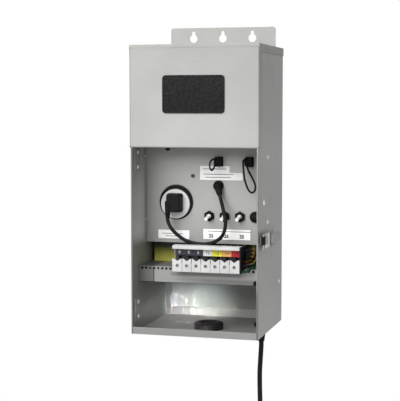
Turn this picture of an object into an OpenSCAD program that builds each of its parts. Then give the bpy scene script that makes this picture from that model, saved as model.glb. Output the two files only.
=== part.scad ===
// Wall-hung low voltage transformer in a folded steel box, seen with its door off.
// Millimetres. X to the right, Y towards the wall, Z up.
// The origin is the centre of the middle keyhole, on the wall side of the back panel.

/* [Housing] */
// Width across the side walls
body_w = 182; // [178:1:240]
// Depth from the wall to the front edge of the side walls
body_d = 160; // [156:1:200]
// Height of the fixed front cover
cover_h = 141.5; // [120:0.5:180]
// Height of the open control bay under the cover
bay_h = 138.5; // [134:0.5:180]
// Height of the gap between the control panel and the wiring tray
gap_h = 30; // [28:1:44]
// Height of the front lip of the wiring tray
tray_lip_h = 22; // [16:1:30]
// Height of the wiring compartment under the tray's lip
compartment_h = 71; // [60:1:110]
// Thickness of the stainless sheet
sheet_t = 1.2; // [0.8:0.1:1.5]
// Depth of the control panel behind the front edge
recess_d = 67; // [62:1:72]
// Width of the folded hem on the front edge of each side wall
hem_w = 2.4; // [2.4:0.2:5]
// Width of the spot-welded tabs on the back edges
rear_tab_w = 12; // [8:1:16]
// Height of the upturned front lip of the floor
floor_lip_h = 10; // [6:1:14]
// Height of the side skirts of the top cap
cap_skirt_h = 11; // [8:1:16]
// Height of the front lip of the top cap
cap_lip_h = 5; // [4:0.5:8]
// Depth of the side flanges of the front cover
cover_flange_d = 13; // [8:1:18]

/* [Hanging flange] */
// Width of the flange above the box
flange_w = 160; // [130:1:170]
// Height of the flange above the box
flange_h = 32; // [28:1:40]
// Radius of the round part of each keyhole
keyhole_r = 6; // [5:0.5:7]
// Half the width of each keyhole's slot
keyhole_slot_r = 2.6; // [2:0.1:2.8]
// Height of the slot's end above the round part's centre
keyhole_rise = 8.4; // [8:0.1:11]
// Distance between neighbouring keyholes
keyhole_pitch = 45; // [35:1:55]
// Height of the keyhole centres above the roof
keyhole_lift = 16; // [14:1:18]

/* [Badge plate] */
// Width of the bare badge plate
badge_w = 88; // [60:1:110]
// Height of the bare badge plate
badge_h = 52; // [30:1:60]
// Thickness of the badge plate
badge_t = 1.4; // [0.8:0.1:2]
// Corner radius of the badge plate
badge_r = 5; // [3:0.5:8]
// Height of the badge plate's centre above the cover's lower edge
badge_lift = 73.5; // [65:0.5:80]

/* [Control panel] */
// Height of the breaker row above the panel's lower edge
breaker_row = 39.5; // [36:0.5:44]
// Distance between neighbouring breakers, as a share of the box's width
breaker_pitch_share = 0.1236; // [0.12:0.0005:0.126]
// Distance of the reset button from the right side wall's outer face
reset_inset = 19; // [18:0.5:20]
// Distance of the receptacle from the left side wall, as a share of the box's width
receptacle_inset_share = 0.2527; // [0.235:0.0005:0.26]
// Height of the receptacle above the panel's lower edge
receptacle_row = 58; // [54:1:62]
// Radius of the round hole for the receptacle
receptacle_hole_r = 25; // [24:0.5:27]
// Width of the bright rolled edge round the receptacle's hole
rolled_edge_w = 1.6; // [0.8:0.1:2.4]
// Radius of the receptacle's grey face
receptacle_face_r = 21.2; // [19:0.1:22]
// Height of the photocell sockets above the panel's lower edge
photocell_row = 117.5; // [112:0.5:122]
// Height of the lead's boot above the panel's lower edge
boot_row = 83; // [80:1:88]

/* [Wiring tray and terminals] */
// Setback of the tray's lip behind the front edge
tray_setback = 28; // [26:1:34]
// Number of poles of the terminal block
poles = 7; // [3:1:7]
// Distance between neighbouring poles
pole_pitch = 13.6; // [12:0.1:14]
// Radius of the clamp sleeves in the wire entries
entry_r = 3; // [2:0.1:3]
// Distance between the slots in the tray's front fold
comb_pitch = 6; // [5:0.5:10]

/* [Transformer core] */
// Clear space between the toroid and each side wall's outer face
toroid_side_gap = 16; // [12:1:30]
// Diameter of the toroid's centre hole
toroid_hole_d = 44; // [30:1:60]
// Clear depth between the breaker bodies and the toroid
toroid_fore_gap = 12.1; // [12:0.1:20]

/* [Latch] */
// Height of the latch above the box floor
latch_row = 134; // [110:1:150]
// Length of the latch lever
latch_lever_l = 44; // [36:1:48]
// Length of the latch's wire bail
latch_bail_l = 61; // [50:1:63]

/* [Power cord] */
// Diameter of the power cord
cord_d = 7; // [6:0.1:7.2]
// Diameter of the timer's lead
lead_d = 5.2; // [4.6:0.1:5.6]
// Mean radius of the stored coil's innermost turns
coil_r = 30; // [30:0.5:36]

/* [Hidden] */
$fn = 48;

// Overrun of every cut past the face that it opens
over = 1;
// Running clearance between pieces that move
run_gap = 0.3;

// Heights of the box, from the keyholes down
box_top = -keyhole_lift;
cover_low = box_top - cover_h;
panel_low = cover_low - bay_h;
tray_top = panel_low - gap_h;
lip_low = tray_top - tray_lip_h;
box_low = lip_low - compartment_h;
box_h = box_top - box_low;
wall_top = box_top - sheet_t;
floor_top = box_low + sheet_t;

// Planes across the box
half_w = body_w / 2;
inner_w = half_w - sheet_t;
fold_r = 2 * sheet_t;
front_y = -body_d;
panel_y = front_y + recess_d;
panel_back = panel_y + sheet_t;
tray_y = front_y + tray_setback;
back_y = -sheet_t;

// Control panel
panel_tuck = 20;
panel_top = cover_low + panel_tuck;
panel_flange_d = 13;
panel_foot_d = 8;
rivet_back_share = 0.6;
rivet_back = panel_flange_d * rivet_back_share;
rivet_y = panel_y - rivet_back;

// Rivets in the side walls, in heights above the panel's lower edge
rivet_shank_r = 1.6;
rivet_head_r = 3;
rivet_head_h = 1.4;
rivet_tail_r = 2.4;
rivet_tail_h = 1;
upper_rivet_row = 125;
lower_rivet_row = 34;
back_rivet_y = -21;
back_rivet_drop = 9;

// Hinge leaves that stay on the left wall when the door is off
leaf_w = 22;
leaf_h = 34;
leaf_t = 1.2;
leaf_inset = 24.5;
leaf_rivet_pitch = 21;
upper_leaf_drop = 17.5;
lower_leaf_lift = 31;

// Receptacle and the plug of the timer
receptacle_x = -half_w + receptacle_inset_share * body_w;
receptacle_z = panel_low + receptacle_row;
rolled_edge_share = 0.7;
face_drop = 2;
face_side = 0.8;
face_proud = 2.5;
ring_set = 1.2;
ring_seat_t = 2;
ring_seat_w = 3;
receptacle_d = 26;
blade_pitch = 12.7;
blade_h = 6.3;
blade_t = 1.5;
blade_l = 15;
earth_r = 2.4;
earth_drop = 11.4;
slot_gap = 0.3;
plug_base_w = 22;
plug_front_w = 18;
plug_h = 27;
plug_d = 19;
plug_r = 3;
plug_shift = 0.5;
plug_exit_r = 4;
plug_exit_tip_r = 3;
plug_gap = 0.3;
plug_y = panel_y - face_proud - plug_gap;
plug_exit = [receptacle_x - 7, plug_y - 16.2, receptacle_z - 21];

// Boot of the lead, and the lead's route from boot to plug
boot_x = 18;
boot_r = 6.3;
boot_reach = 5;
boot_swell = 0.3;
boot_flange_r = 7.6;
boot_flange_t = 1.2;
boot_spout_r = 3.6;
boot_z = panel_low + boot_row;
boot_centre = [boot_x, panel_y - boot_reach, boot_z];
lead_from_boot = [[4, -4, -12.5], [6, -6, -18.5], [9.5, -10.5, -27], [13, -15, -37], [16, -18, -48],
  [15, -18, -60], [9, -16, -71.5], [-4, -14, -79.5]];
lead_to_plug = [[47, 1, -36], [28, 0, -32], [14, -1, -23], [4.5, -1, -13], [0, 0, -3], [0, 0, 0]];
lead_route = concat([for (p = lead_from_boot) boot_centre + p], [for (p = lead_to_plug) plug_exit + p]);

// Photocell sockets and their jumper plugs
socket_left_x = 18.5;
socket_right_inset = 28;
socket_right_x = half_w - socket_right_inset;
socket_z = panel_low + photocell_row;
socket_w = 12.4;
socket_h = 14;
socket_t = 1.5;
socket_body_w = 10;
socket_body_h = 11.4;
socket_body_d = 14;
pin_r = 1;
pin_pitch = 5;
pin_l = 9;
jumper_w = 10;
jumper_h = 11.6;
jumper_d = 9;
jumper_r = 2.4;
jumper_rib_w = 2;
jumper_rib_d = 1.2;
wire_left_d = 2.5;
wire_right_d = 2.8;
jumper_reach = socket_t + plug_gap + jumper_d;
loop_left = [[-3, -jumper_reach, 4], [-3, -14, 4], [-4.5, -18.5, 4], [-6.8, -21.5, 0.5], [-7.6, -22.5, -5],
  [-6.8, -21.5, -10], [-5, -18.5, -11.5], [-3.2, -15.5, -8], [-2.5, -13.5, -4.2], [-2.5, -jumper_reach, -4.2]];
loop_right = [[-3, -jumper_reach, 4], [-3, -14, 4], [-4.5, -18, 2.5], [-4.5, -20, -2.5], [-3.5, -21, -11.5],
  [-2.5, -21, -21], [-0.5, -20, -29.5], [2, -18, -37], [5.5, -17, -41.5], [9.5, -16, -41.5],
  [11.8, -15, -37], [11.5, -14.5, -31.5], [8.5, -14.5, -24], [4, -15.5, -15.5], [1, -16.5, -8.5],
  [0, -14, -4], [0, -jumper_reach, -4]];
loop_left_route = [for (p = loop_left) [socket_left_x, panel_y, socket_z] + p];
loop_right_route = [for (p = loop_right) [socket_right_x, panel_y, socket_z] + p];

// Breakers
reset_x = half_w - reset_inset;
breaker_pitch = breaker_pitch_share * body_w;
breaker_z = panel_low + breaker_row;
breaker_xs = [for (i = [3:-1:1]) reset_x - i * breaker_pitch];
breaker_w = 16;
breaker_body_h = 36;
breaker_body_d = 26;
bushing_r = 5.8;
bushing_bore_r = 3.6;
bushing_reach = 5;
nut_flats = 13.6;
nut_t = 3;
lever_ball_r = 3.2;
lever_root_r = 2.3;
lever_tip_r = 2.5;
lever_l = 11.5;
lever_tilt = 18;
lever_turn = 25;
lever_pin_r = 0.8;
lever_pin_l = 9.4;
pin_seat_l = 10;
pin_gap = 0.08;
lever_pivot_y = panel_y - nut_t;
reset_bore_r = 4.8;
reset_button_r = 4.5;
reset_proud = 4;
reset_ring_r = 8;
reset_stem_r = 2;

// Small pieces on the panel
hole_plug_inset = 33.5;
hole_plug_x = -half_w + hole_plug_inset;
hole_plug_drop = 3.2;
hole_plug_z = cover_low - hole_plug_drop;
hole_plug_r = 3.6;
hole_plug_h = 1.8;
hole_plug_snap_r = 2.6;
hole_plug_snap_d = 4;
screw_x = -20;
screw_row = 96.5;
screw_z = panel_low + screw_row;
screw_head_r = 2.6;
screw_head_h = 1.8;
screw_shank_r = 1.5;
screw_l = 7;
screw_slot_w = 0.8;
screw_slot_d = 0.8;

// Wiring tray
comb_w = 3.4;
comb_h = 3;
comb_drop = 1.4;
comb_margin = 5;
slit_w = 1;
slit_x = -66.5;
bumper_r = 3.2;
bumper_h = 2.6;
bumper_inset = 9.5;

// Terminal block, from its front face back
block_inset = 12;
block_y = front_y + block_inset;
block_right_inset = 29;
block_right = half_w - block_right_inset;
block_end_w = 0.6;
block_w = poles * pole_pitch + 2 * block_end_w;
block_left = block_right - block_w;
block_d = 32;
block_rise = 32.6;
block_top = tray_top + block_rise;
block_heel = 4.2;
block_window_d = 12;
block_rim_h = 5;
block_bevel = 2;
block_crest_d = 14;
block_shoulder_h = 8;
block_tag_h = 10;
block_foot_h = 18.5;
trough_wall = 2.5;
trough_drop = 6;
tag_t = 0.8;
entry_d = 15;
notch_half_w = 5;
notch_drop = 3.6;
end_plate_t = 2.2;
screw_bore_r = 2.5;
screw_bore_d = 9;
screw_seat = 3;
screw_lift = 8.4;
groove_w = 0.9;
groove_d = 1;
sleeve_in = 5;
sleeve_r = 2.2;
wire_d = 3.2;

// Insulating sheet between the leads and the toroid
insul_back = 19;
insul_y = panel_y + insul_back;
insul_t = 0.6;
insul_side_gap = 7;
insul_half_w = half_w - insul_side_gap;
insul_h = 42;
insul_hole_r = 3.4;
insul_lead_share = 0.75;
insul_lead_rise = 23;
insul_lead_z = tray_top + insul_lead_rise;

// Toroid on the back panel
pad_t = 2.5;
toroid_r = half_w - toroid_side_gap;
toroid_hole_r = toroid_hole_d / 2;
toroid_fillet_share = 0.24;
toroid_clear = 2;
toroid_x = 0;
toroid_z = tray_top + toroid_clear + toroid_r;
toroid_back = back_y - pad_t;
toroid_front = panel_back + breaker_body_d + toroid_fore_gap;
toroid_t = toroid_back - toroid_front;
toroid_fillet = toroid_fillet_share * toroid_t;
washer_share = 0.53;
washer_r = washer_share * toroid_r;
washer_t = 2;
washer_dish = 3;
stud_r = 4;
stud_nut_flats = 13;
stud_nut_t = 6.5;
stud_end = 3;

// Routes of the leads behind the terminal block
lead_row_drop = 11.5;
lead_rise = 6;
lead_gather_share = 0.6;
lead_bow_share = 0.88;
red_leave = [[-1, 12.5, -breaker_body_h / 2], [-1, 12.5, -33.5], [-1.2, 10, -46.5], [-1.8, 3, -57.5]];
red_enter = [[5.3, 47, 8], [4.8, 33, 8], [5, 23, 8.5], [4.4, 17.5, 9.5], [2.4, 16, 10], [0, 16, 10]];
black_leave = [[2.6, 12.5, -breaker_body_h / 2], [2.6, 12.5, -34.5], [2.6, 9.5, -49.5], [2.3, 1, -61]];
black_enter = [[9.6, 42, 4.5], [8.8, 26, 4], [8.4, 17, 4.5], [6.3, 11, 5.5], [3, 9.5, 6], [0, 9.5, 6]];
green_leave = [[6.2, 12.5, -breaker_body_h / 2], [6.2, 12.5, -33.5], [6.2, 9.5, -48.5], [6, 1, -59]];
green_enter = [[13.4, 42, 6], [13, 26, 4], [12.8, 14, 3.5], [10.3, 7, 0.5], [5.3, 5, -2], [0, 5, -2]];
feed_leave = [
  [[4.5, 12.5, -breaker_body_h / 2], [4.5, 12.5, -29.5], [7, 11, -38.5], [12.5, 5.5, -45]],
  [[0, 12.5, -breaker_body_h / 2], [0, 12.5, -30.5], [3.5, 11.5, -41], [10.5, 6, -49.5]],
  [[-4.5, 12.5, -breaker_body_h / 2], [-4.5, 12.5, -31.5], [-1, 11.5, -43], [7.5, 6, -54]]];
feed_enter = [
  [[2.8, 51, 22.5], [7, 41, 23.5], [7.6, 33, 24.5], [6, 27, 25], [3, 24.3, 25], [0, 24, 25]],
  [[1.8, 51.5, 17], [6.8, 41, 18], [7.6, 33, 19], [6, 27, 19.5], [3, 24.3, 19.5], [0, 24, 19.5]],
  [[0.8, 51.5, 11.5], [6.6, 41, 12.5], [7.6, 33, 13.5], [6, 27, 14], [3, 24.3, 14], [0, 24, 14]]];
function block_lead(from_x, leave, enter) = concat([for (p = leave) [from_x, panel_y, breaker_z] + p],
  [for (p = enter) [block_right + end_plate_t, block_y, tray_top] + p]);
red_route = block_lead(reset_x, red_leave, red_enter);
black_route = block_lead(reset_x, black_leave, black_enter);
green_route = block_lead(reset_x, green_leave, green_enter);
feed_routes = [for (i = [0:2]) block_lead(breaker_xs[2], feed_leave[i], feed_enter[i])];

// Floor fittings
bushing_x = 6;
bushing_setback = 58;
bushing_y = front_y + bushing_setback;
grommet_r = 21;
grommet_h = 10;
grommet_hole_r = 13;
grommet_neck_r = 17;
grommet_snap_r = 19;
grommet_snap_h = 2;
grommet_edge = 3;
grommet_notch_w = 2.4;
knock_left_x = -44;
knock_right_x = 42;
knock_setback = 92;
knock_y = front_y + knock_setback;
knock_r = 11;
knock_slit = 0.8;
knock_web = 3;
gland_side_gap = 16;
gland_x = half_w - gland_side_gap;
gland_setback = 94;
gland_y = front_y + gland_setback;
gland_hole_r = 7;
gland_flange_r = 9.5;
gland_flange_h = 2;
gland_nut_flats = 19;
gland_nut_h = 6;
gland_relief_h = 20;
gland_tip_r = 4.4;
gland_bore_r = 3.8;

// Power cord: the stretch that hangs under the box, then the stored coil
cord_exit = [gland_x, gland_y, box_low - gland_relief_h];
cord_hang = [[0, 0, 0], [0, 0, -7], [-1, 0, -25], [-2, 0, -44], [-2, 0, -63], [-1.5, 0, -82], [-1, 0, -102],
  [-1, 0, -147]];
cord_route = [for (p = cord_hang) cord_exit + p];
cord_end = cord_route[len(cord_route) - 1];
coil_gap = 1.6;
coil_pitch = cord_d + coil_gap;
coil_turns_in = 2;
coil_sides = 6;
coil_rings = 24;
coil_out_r = coil_r + coil_turns_in * coil_pitch;
coil_x = cord_end[0] - coil_out_r;
coil_y = cord_end[1];
coil_z = cord_end[2];
coil_total = 2 * coil_turns_in;
tail_l = 42;
plug_body_r = 13;
plug_neck_r = 5;
plug_neck_step = 1.2;
plug_neck_l = 12;
plug_body_l = 24;
plug_pin_l = 17;

// Tie round the coil's turns
tie_w = 12;
tie_t = 1.6;
tie_gap = 0.5;

// Latch on the right wall
latch_z = box_low + latch_row;
latch_setback = 58;
latch_pivot_y = front_y + latch_setback;
latch_pivot_out = 6;
latch_base_back = 40;
latch_base_fore = 9;
latch_base_half_h = 8.7;
latch_base_t = 1.5;
latch_ear_t = 1.2;
latch_ear_r = 4.5;
latch_pin_r = 1.4;
latch_lever_half_h = 6.6;
latch_lever_t = 1.5;
latch_arm_r = 1;
latch_arm_z = 10.6;
latch_crank = 8;
latch_turn_r = 2.6;
latch_curl_l = 6;
hook_half_h = 5.5;
hook_rise = 2.5;
hook_t = 1.6;
hook_l = 18;
hook_lip = 4;
latch_rivet_back = 14;
latch_rivet_pitch = 18;
latch_rivet_ys = [for (i = [0, 1]) latch_pivot_y + latch_rivet_back + i * latch_rivet_pitch];

// Rules for round stretches and swept tubes
function unit(v) = v / norm(v);
function spline(a, b, c, d, t) =
  (2 * b + (c - a) * t + (2 * a - 5 * b + 4 * c - d) * t * t + (3 * b - a - 3 * c + d) * t * t * t) / 2;
function smooth(p, steps) = [
  for (i = [0:len(p) - 2]) for (s = [0:steps - 1])
    spline(p[max(i - 1, 0)], p[i], p[i + 1], p[min(i + 2, len(p) - 1)], s / steps),
  p[len(p) - 1]];
function headings(p) = [for (i = [0:len(p) - 1]) unit(p[min(i + 1, len(p) - 1)] - p[max(i - 1, 0)])];
function square_to(v, t) = unit(v - (v * t) * t);
function carried(v, t, i) = i == 0 ? [square_to(v, t[0])] :
  let (before = carried(v, t, i - 1)) concat(before, [square_to(before[i - 1], t[i])]);
function least_gap(p, skip) = min([for (i = [0:len(p) - 1]) for (j = [i + skip:1:len(p) - 1]) norm(p[i] - p[j])]);

// A tube of radius r along the points p, with straight ends square to first and last
module tube(p, r, sides, start, first, last) {
  middle = headings(p);
  n = len(p);
  t = [for (i = [0:n - 1]) i == 0 ? first : i == n - 1 ? last : middle[i]];
  u = carried(start, t, n - 1);
  rim = [for (i = [0:n - 1]) for (k = [0:sides - 1])
    p[i] + r * cos(360 * k / sides) * u[i] + r * sin(360 * k / sides) * cross(t[i], u[i])];
  walls = [for (i = [0:n - 2]) for (k = [0:sides - 1]) for (half = [0:1])
    let (a = i * sides + k, b = i * sides + (k + 1) % sides)
      half == 0 ? [a, a + sides, b] : [b, a + sides, b + sides]];
  ends = [for (k = [1:sides - 2]) for (half = [0:1])
    half == 0 ? [0, k, k + 1] : [(n - 1) * sides, (n - 1) * sides + k + 1, (n - 1) * sides + k]];
  polyhedron(points = rim, faces = concat(walls, ends));
}

// A free wire through hand-set points, square at both ends
module wire(p, d, sides, steps, start) {
  last = len(p) - 1;
  tube(smooth(p, steps), d / 2, sides, start, unit(p[1] - p[0]), unit(p[last] - p[last - 1]));
}

// Outlines and placing
module round_rect(w, h, r) {
  square([w - 2 * r, h], center = true);
  square([w, h - 2 * r], center = true);
  for (x = [-1, 1]) for (y = [-1, 1]) translate([x * (w / 2 - r), y * (h / 2 - r)]) circle(r);
}
module ring_outline(outer, inner) {
  difference() {
    circle(outer);
    circle(inner);
  }
}
module hexagon(flats) {
  circle(flats / sqrt(3), $fn = 6);
}
// An outline in X and Z, from y_front back by depth
module upright(y_front, depth) {
  translate([0, y_front + depth, 0]) rotate([90, 0, 0]) linear_extrude(depth) children();
}
// An outline in Y and Z, from x_low to the right by width
module crosswise(x_low, width) {
  translate([x_low, 0, 0]) rotate([90, 0, 90]) linear_extrude(width) children();
}
// A round peg along Y
module peg(x, y_front, z, r, depth) {
  translate([x, y_front, z]) rotate([-90, 0, 0]) cylinder(r = r, h = depth);
}
// A low dome standing on z = 0
module dome(r, h) {
  ball_r = (r * r + h * h) / (2 * h);
  intersection() {
    translate([0, 0, h - ball_r]) sphere(ball_r, $fn = 64);
    cylinder(r = r, h = h);
  }
}
// A blind rivet through a side wall, its head outside; hand is 1 on the right and -1 on the left
module wall_rivet(hand, y, z, grip) {
  mirror([hand < 0 ? 1 : 0, 0, 0]) {
    translate([half_w, y, z]) rotate([0, 90, 0]) dome(rivet_head_r, rivet_head_h);
    translate([half_w - grip - rivet_tail_h, y, z]) rotate([0, 90, 0]) {
      cylinder(r = rivet_shank_r, h = grip + rivet_tail_h + rivet_head_h / 4);
      cylinder(r = rivet_tail_r, h = rivet_tail_h);
    }
  }
}
module wall_hole(hand, y, z, r) {
  mirror([hand < 0 ? 1 : 0, 0, 0])
    translate([half_w - 2 * sheet_t - over, y, z]) rotate([0, 90, 0]) cylinder(r = r, h = 2 * sheet_t + 2 * over);
}
panel_rivet_zs = [panel_low + lower_rivet_row, panel_low + upper_rivet_row];
back_rivet_z = lip_low - back_rivet_drop;
leaf_y = front_y + leaf_inset;
leaf_zs = [cover_low - upper_leaf_drop, box_low + lower_leaf_lift];
stud_setback = 35;
stud_row = 63.5;
stud_y = front_y + stud_setback;
stud_z = panel_low + stud_row;
catch_r = 4.6;
catch_h = 2;

// Back panel, which carries the hanging flange with its three keyholes
module keyhole() {
  circle(keyhole_r);
  translate([-keyhole_slot_r, 0]) square([2 * keyhole_slot_r, keyhole_rise]);
  translate([0, keyhole_rise]) circle(keyhole_slot_r);
}
module back_panel() {
  corner_r = flange_h / 8;
  color("lightgray") upright(back_y, sheet_t) difference() {
    union() {
      translate([-half_w, box_low]) square([body_w, box_h - sheet_t]);
      translate([0, wall_top]) round_rect(flange_w, 2 * (flange_h + sheet_t), corner_r);
    }
    for (i = [-1:1]) translate([i * keyhole_pitch, 0]) keyhole();
  }
}

// Side walls, each folded in at the front hem and at the welded rear tab
module side_outline() {
  translate([inner_w, front_y + sheet_t]) square([sheet_t, body_d - 2 * sheet_t]);
  translate([half_w - hem_w, front_y]) square([hem_w - sheet_t, sheet_t]);
  intersection() {
    translate([inner_w, front_y]) square(sheet_t);
    translate([inner_w, front_y + sheet_t]) circle(sheet_t);
  }
  translate([half_w - rear_tab_w, back_y - sheet_t]) square([rear_tab_w, sheet_t]);
}
module side_wall(hand) {
  difference() {
    mirror([hand < 0 ? 1 : 0, 0, 0]) translate([0, 0, box_low]) linear_extrude(box_h - sheet_t) side_outline();
    for (z = panel_rivet_zs) wall_hole(hand, rivet_y, z, rivet_shank_r);
    if (hand > 0) {
      wall_hole(hand, back_rivet_y, back_rivet_z, rivet_shank_r);
      for (y = latch_rivet_ys) wall_hole(hand, y, latch_z, rivet_shank_r);
    }
    if (hand < 0) for (z = leaf_zs) for (i = [-1, 1])
      wall_hole(hand, leaf_y, z + i * leaf_rivet_pitch / 2, rivet_shank_r);
  }
}
module left_side() {
  color("darkgray") side_wall(-1);
}
module right_side() {
  color("darkgray") side_wall(1);
}

// Floor with its front lip, the bushing and gland holes, and two knockouts held by small webs
module knockout_slit() {
  difference() {
    ring_outline(knock_r, knock_r - knock_slit);
    square([knock_web, 2 * knock_r + 2 * over], center = true);
  }
}
module floor_panel() {
  lip_w = 2 * (half_w - hem_w);
  color("gainsboro") {
    difference() {
      union() {
        translate([-inner_w, front_y + sheet_t, box_low])
          cube([2 * inner_w, body_d - 3 * sheet_t, sheet_t]);
        translate([-lip_w / 2, front_y, box_low]) cube([lip_w, sheet_t, floor_lip_h]);
      }
      translate([bushing_x, bushing_y, box_low - over]) cylinder(r = grommet_neck_r, h = sheet_t + 2 * over);
      translate([gland_x, gland_y, box_low - over]) cylinder(r = gland_hole_r, h = sheet_t + 2 * over);
      for (x = [knock_left_x, knock_right_x])
        translate([x, knock_y, box_low - over]) linear_extrude(sheet_t + 2 * over) knockout_slit();
    }
    translate([rear_tab_w - half_w, back_y - sheet_t, box_low])
      cube([body_w - 2 * rear_tab_w, sheet_t, rear_tab_w + sheet_t]);
  }
}

// Roof cap with side skirts and a front lip
module top_cap() {
  out = half_w + sheet_t;
  color("silver") difference() {
    translate([-out, front_y - sheet_t, box_top - cap_skirt_h]) cube([2 * out, body_d, cap_skirt_h]);
    translate([-half_w, front_y, box_top - cap_skirt_h - over]) cube([body_w, body_d, cap_skirt_h - sheet_t + over]);
    translate([-out - over, front_y - sheet_t - over, box_top - cap_skirt_h - over])
      cube([2 * out + 2 * over, sheet_t + over, cap_skirt_h - cap_lip_h + over]);
  }
}

// Fixed front cover, folded round both sides and back under its lower edge
module cover_block(w, d, low, high, r) {
  intersection() {
    translate([0, 0, low]) linear_extrude(high - low) round_rect(w, 2 * d, r);
    crosswise(-w / 2, w) translate([0, high - r]) round_rect(2 * d, 2 * (high - r - low), r);
  }
}
module upper_cover() {
  out_w = body_w + 2 * sheet_t;
  out_d = cover_flange_d + sheet_t;
  high = box_top - cap_lip_h;
  color("lightgray") difference() {
    translate([0, front_y + cover_flange_d, 0]) cover_block(out_w, out_d, cover_low, high + fold_r, fold_r);
    translate([0, front_y + cover_flange_d, 0])
      cover_block(body_w, cover_flange_d, cover_low + sheet_t, high + fold_r + over, fold_r - sheet_t);
    translate([-half_w - over - sheet_t, front_y + cover_flange_d, cover_low - over])
      cube([out_w + 2 * over, out_d + over, box_h]);
    translate([-out_w, front_y - 2 * sheet_t, high]) cube([2 * out_w, body_d, cap_skirt_h]);
    for (hand = [0, 1]) mirror([hand, 0, 0]) {
      translate([half_w, front_y, box_top - cap_skirt_h]) cube([hem_w, body_d, cap_skirt_h]);
      translate([half_w - hem_w, front_y, cover_low - over]) cube([hem_w, body_d, 2 * sheet_t + over]);
    }
  }
}

// Bare badge plate with a fine raised rim
module badge_plate() {
  rim_w = badge_r / 4;
  rim_h = badge_t / 3;
  plate_y = front_y - sheet_t;
  color("black") translate([0, 0, cover_low + badge_lift]) {
    upright(plate_y - badge_t + rim_h, badge_t - rim_h) round_rect(badge_w, badge_h, badge_r);
    upright(plate_y - badge_t, rim_h) difference() {
      round_rect(badge_w, badge_h, badge_r);
      round_rect(badge_w - 2 * rim_w, badge_h - 2 * rim_w, badge_r - rim_w);
    }
  }
}

// Recessed control panel with forward side flanges and a rearward foot
module control_panel() {
  edge = inner_w - sheet_t;
  color("silver") difference() {
    union() {
      upright(panel_y, sheet_t) translate([-inner_w, panel_low]) square([2 * inner_w, panel_top - panel_low]);
      for (hand = [0, 1]) mirror([hand, 0, 0])
        translate([edge, panel_y - panel_flange_d, panel_low]) cube([sheet_t, panel_flange_d, bay_h - sheet_t]);
      translate([-edge, panel_back, panel_low]) cube([2 * edge, panel_foot_d - sheet_t, sheet_t]);
    }
    peg(receptacle_x, panel_y - over, receptacle_z, receptacle_hole_r, sheet_t + 2 * over);
    translate([receptacle_x, panel_y, receptacle_z]) rotate([-90, 0, 0])
      cylinder(r1 = receptacle_hole_r + rolled_edge_w, r2 = receptacle_hole_r, h = sheet_t * rolled_edge_share);
    peg(boot_x, panel_y - over, boot_z, boot_r, sheet_t + 2 * over);
    for (x = breaker_xs) peg(x, panel_y - over, breaker_z, bushing_r, sheet_t + 2 * over);
    peg(reset_x, panel_y - over, breaker_z, bushing_r, sheet_t + 2 * over);
    for (x = [socket_left_x, socket_right_x]) upright(panel_y - over, sheet_t + 2 * over)
      translate([x, socket_z]) square([socket_body_w, socket_body_h], center = true);
    peg(hole_plug_x, panel_y - over, hole_plug_z, hole_plug_snap_r, sheet_t + 2 * over);
    peg(screw_x, panel_y - over, screw_z, screw_shank_r, sheet_t + 2 * over);
    for (hand = [-1, 1]) for (z = panel_rivet_zs) wall_hole(hand, rivet_y, z, rivet_shank_r);
  }
}

// Rivets that hold the panel's flanges and the latch, and one by the back corner
module wall_rivets() {
  color("white") {
    for (hand = [-1, 1]) for (z = panel_rivet_zs) wall_rivet(hand, rivet_y, z, 2 * sheet_t);
    wall_rivet(1, back_rivet_y, back_rivet_z, sheet_t);
  }
}

// Door hinge leaves inside the left wall, each with two rivets whose domes face inwards
module hinge_leaves() {
  color("silver") for (z = leaf_zs) {
    translate([-inner_w, leaf_y - leaf_w / 2, z - leaf_h / 2]) cube([leaf_t, leaf_w, leaf_h]);
    for (i = [-1, 1]) translate([-inner_w, leaf_y, z + i * leaf_rivet_pitch / 2]) rotate([0, 90, 0]) {
      translate([0, 0, leaf_t]) dome(rivet_head_r, rivet_head_h);
      translate([0, 0, -sheet_t]) cylinder(r = rivet_shank_r, h = sheet_t);
    }
  }
}

// Round catch stud on the right wall
module catch_stud() {
  color("silver") translate([half_w, stud_y, stud_z]) rotate([0, 90, 0]) dome(catch_r, catch_h);
}

// Receptacle: a black ring set into the panel's hole, and the grey face inside it
module ring_hole() {
  translate([receptacle_x - face_side, receptacle_z - face_drop]) circle(receptacle_face_r);
}
module receptacle_ring() {
  seat_r = receptacle_hole_r + ring_seat_w;
  color("black") {
    upright(panel_y + ring_set, receptacle_d) difference() {
      translate([receptacle_x, receptacle_z]) circle(receptacle_hole_r);
      ring_hole();
    }
    upright(panel_back, ring_seat_t) difference() {
      translate([receptacle_x, receptacle_z]) circle(seat_r);
      translate([receptacle_x, receptacle_z]) circle(receptacle_hole_r);
    }
  }
}
module blade_outline(extra) {
  for (i = [-1, 1]) translate([i * blade_pitch / 2, 0])
    square([blade_t + 2 * extra, blade_h + 2 * extra], center = true);
  translate([0, -earth_drop]) circle(earth_r + extra);
}
module receptacle_face() {
  face_y = panel_y - face_proud;
  body_d_in = receptacle_d + face_proud + ring_set;
  color("gainsboro") difference() {
    upright(face_y, body_d_in) ring_hole();
    upright(face_y - over, blade_l + 2 * over) translate([receptacle_x, receptacle_z]) blade_outline(slot_gap);
  }
}

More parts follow.
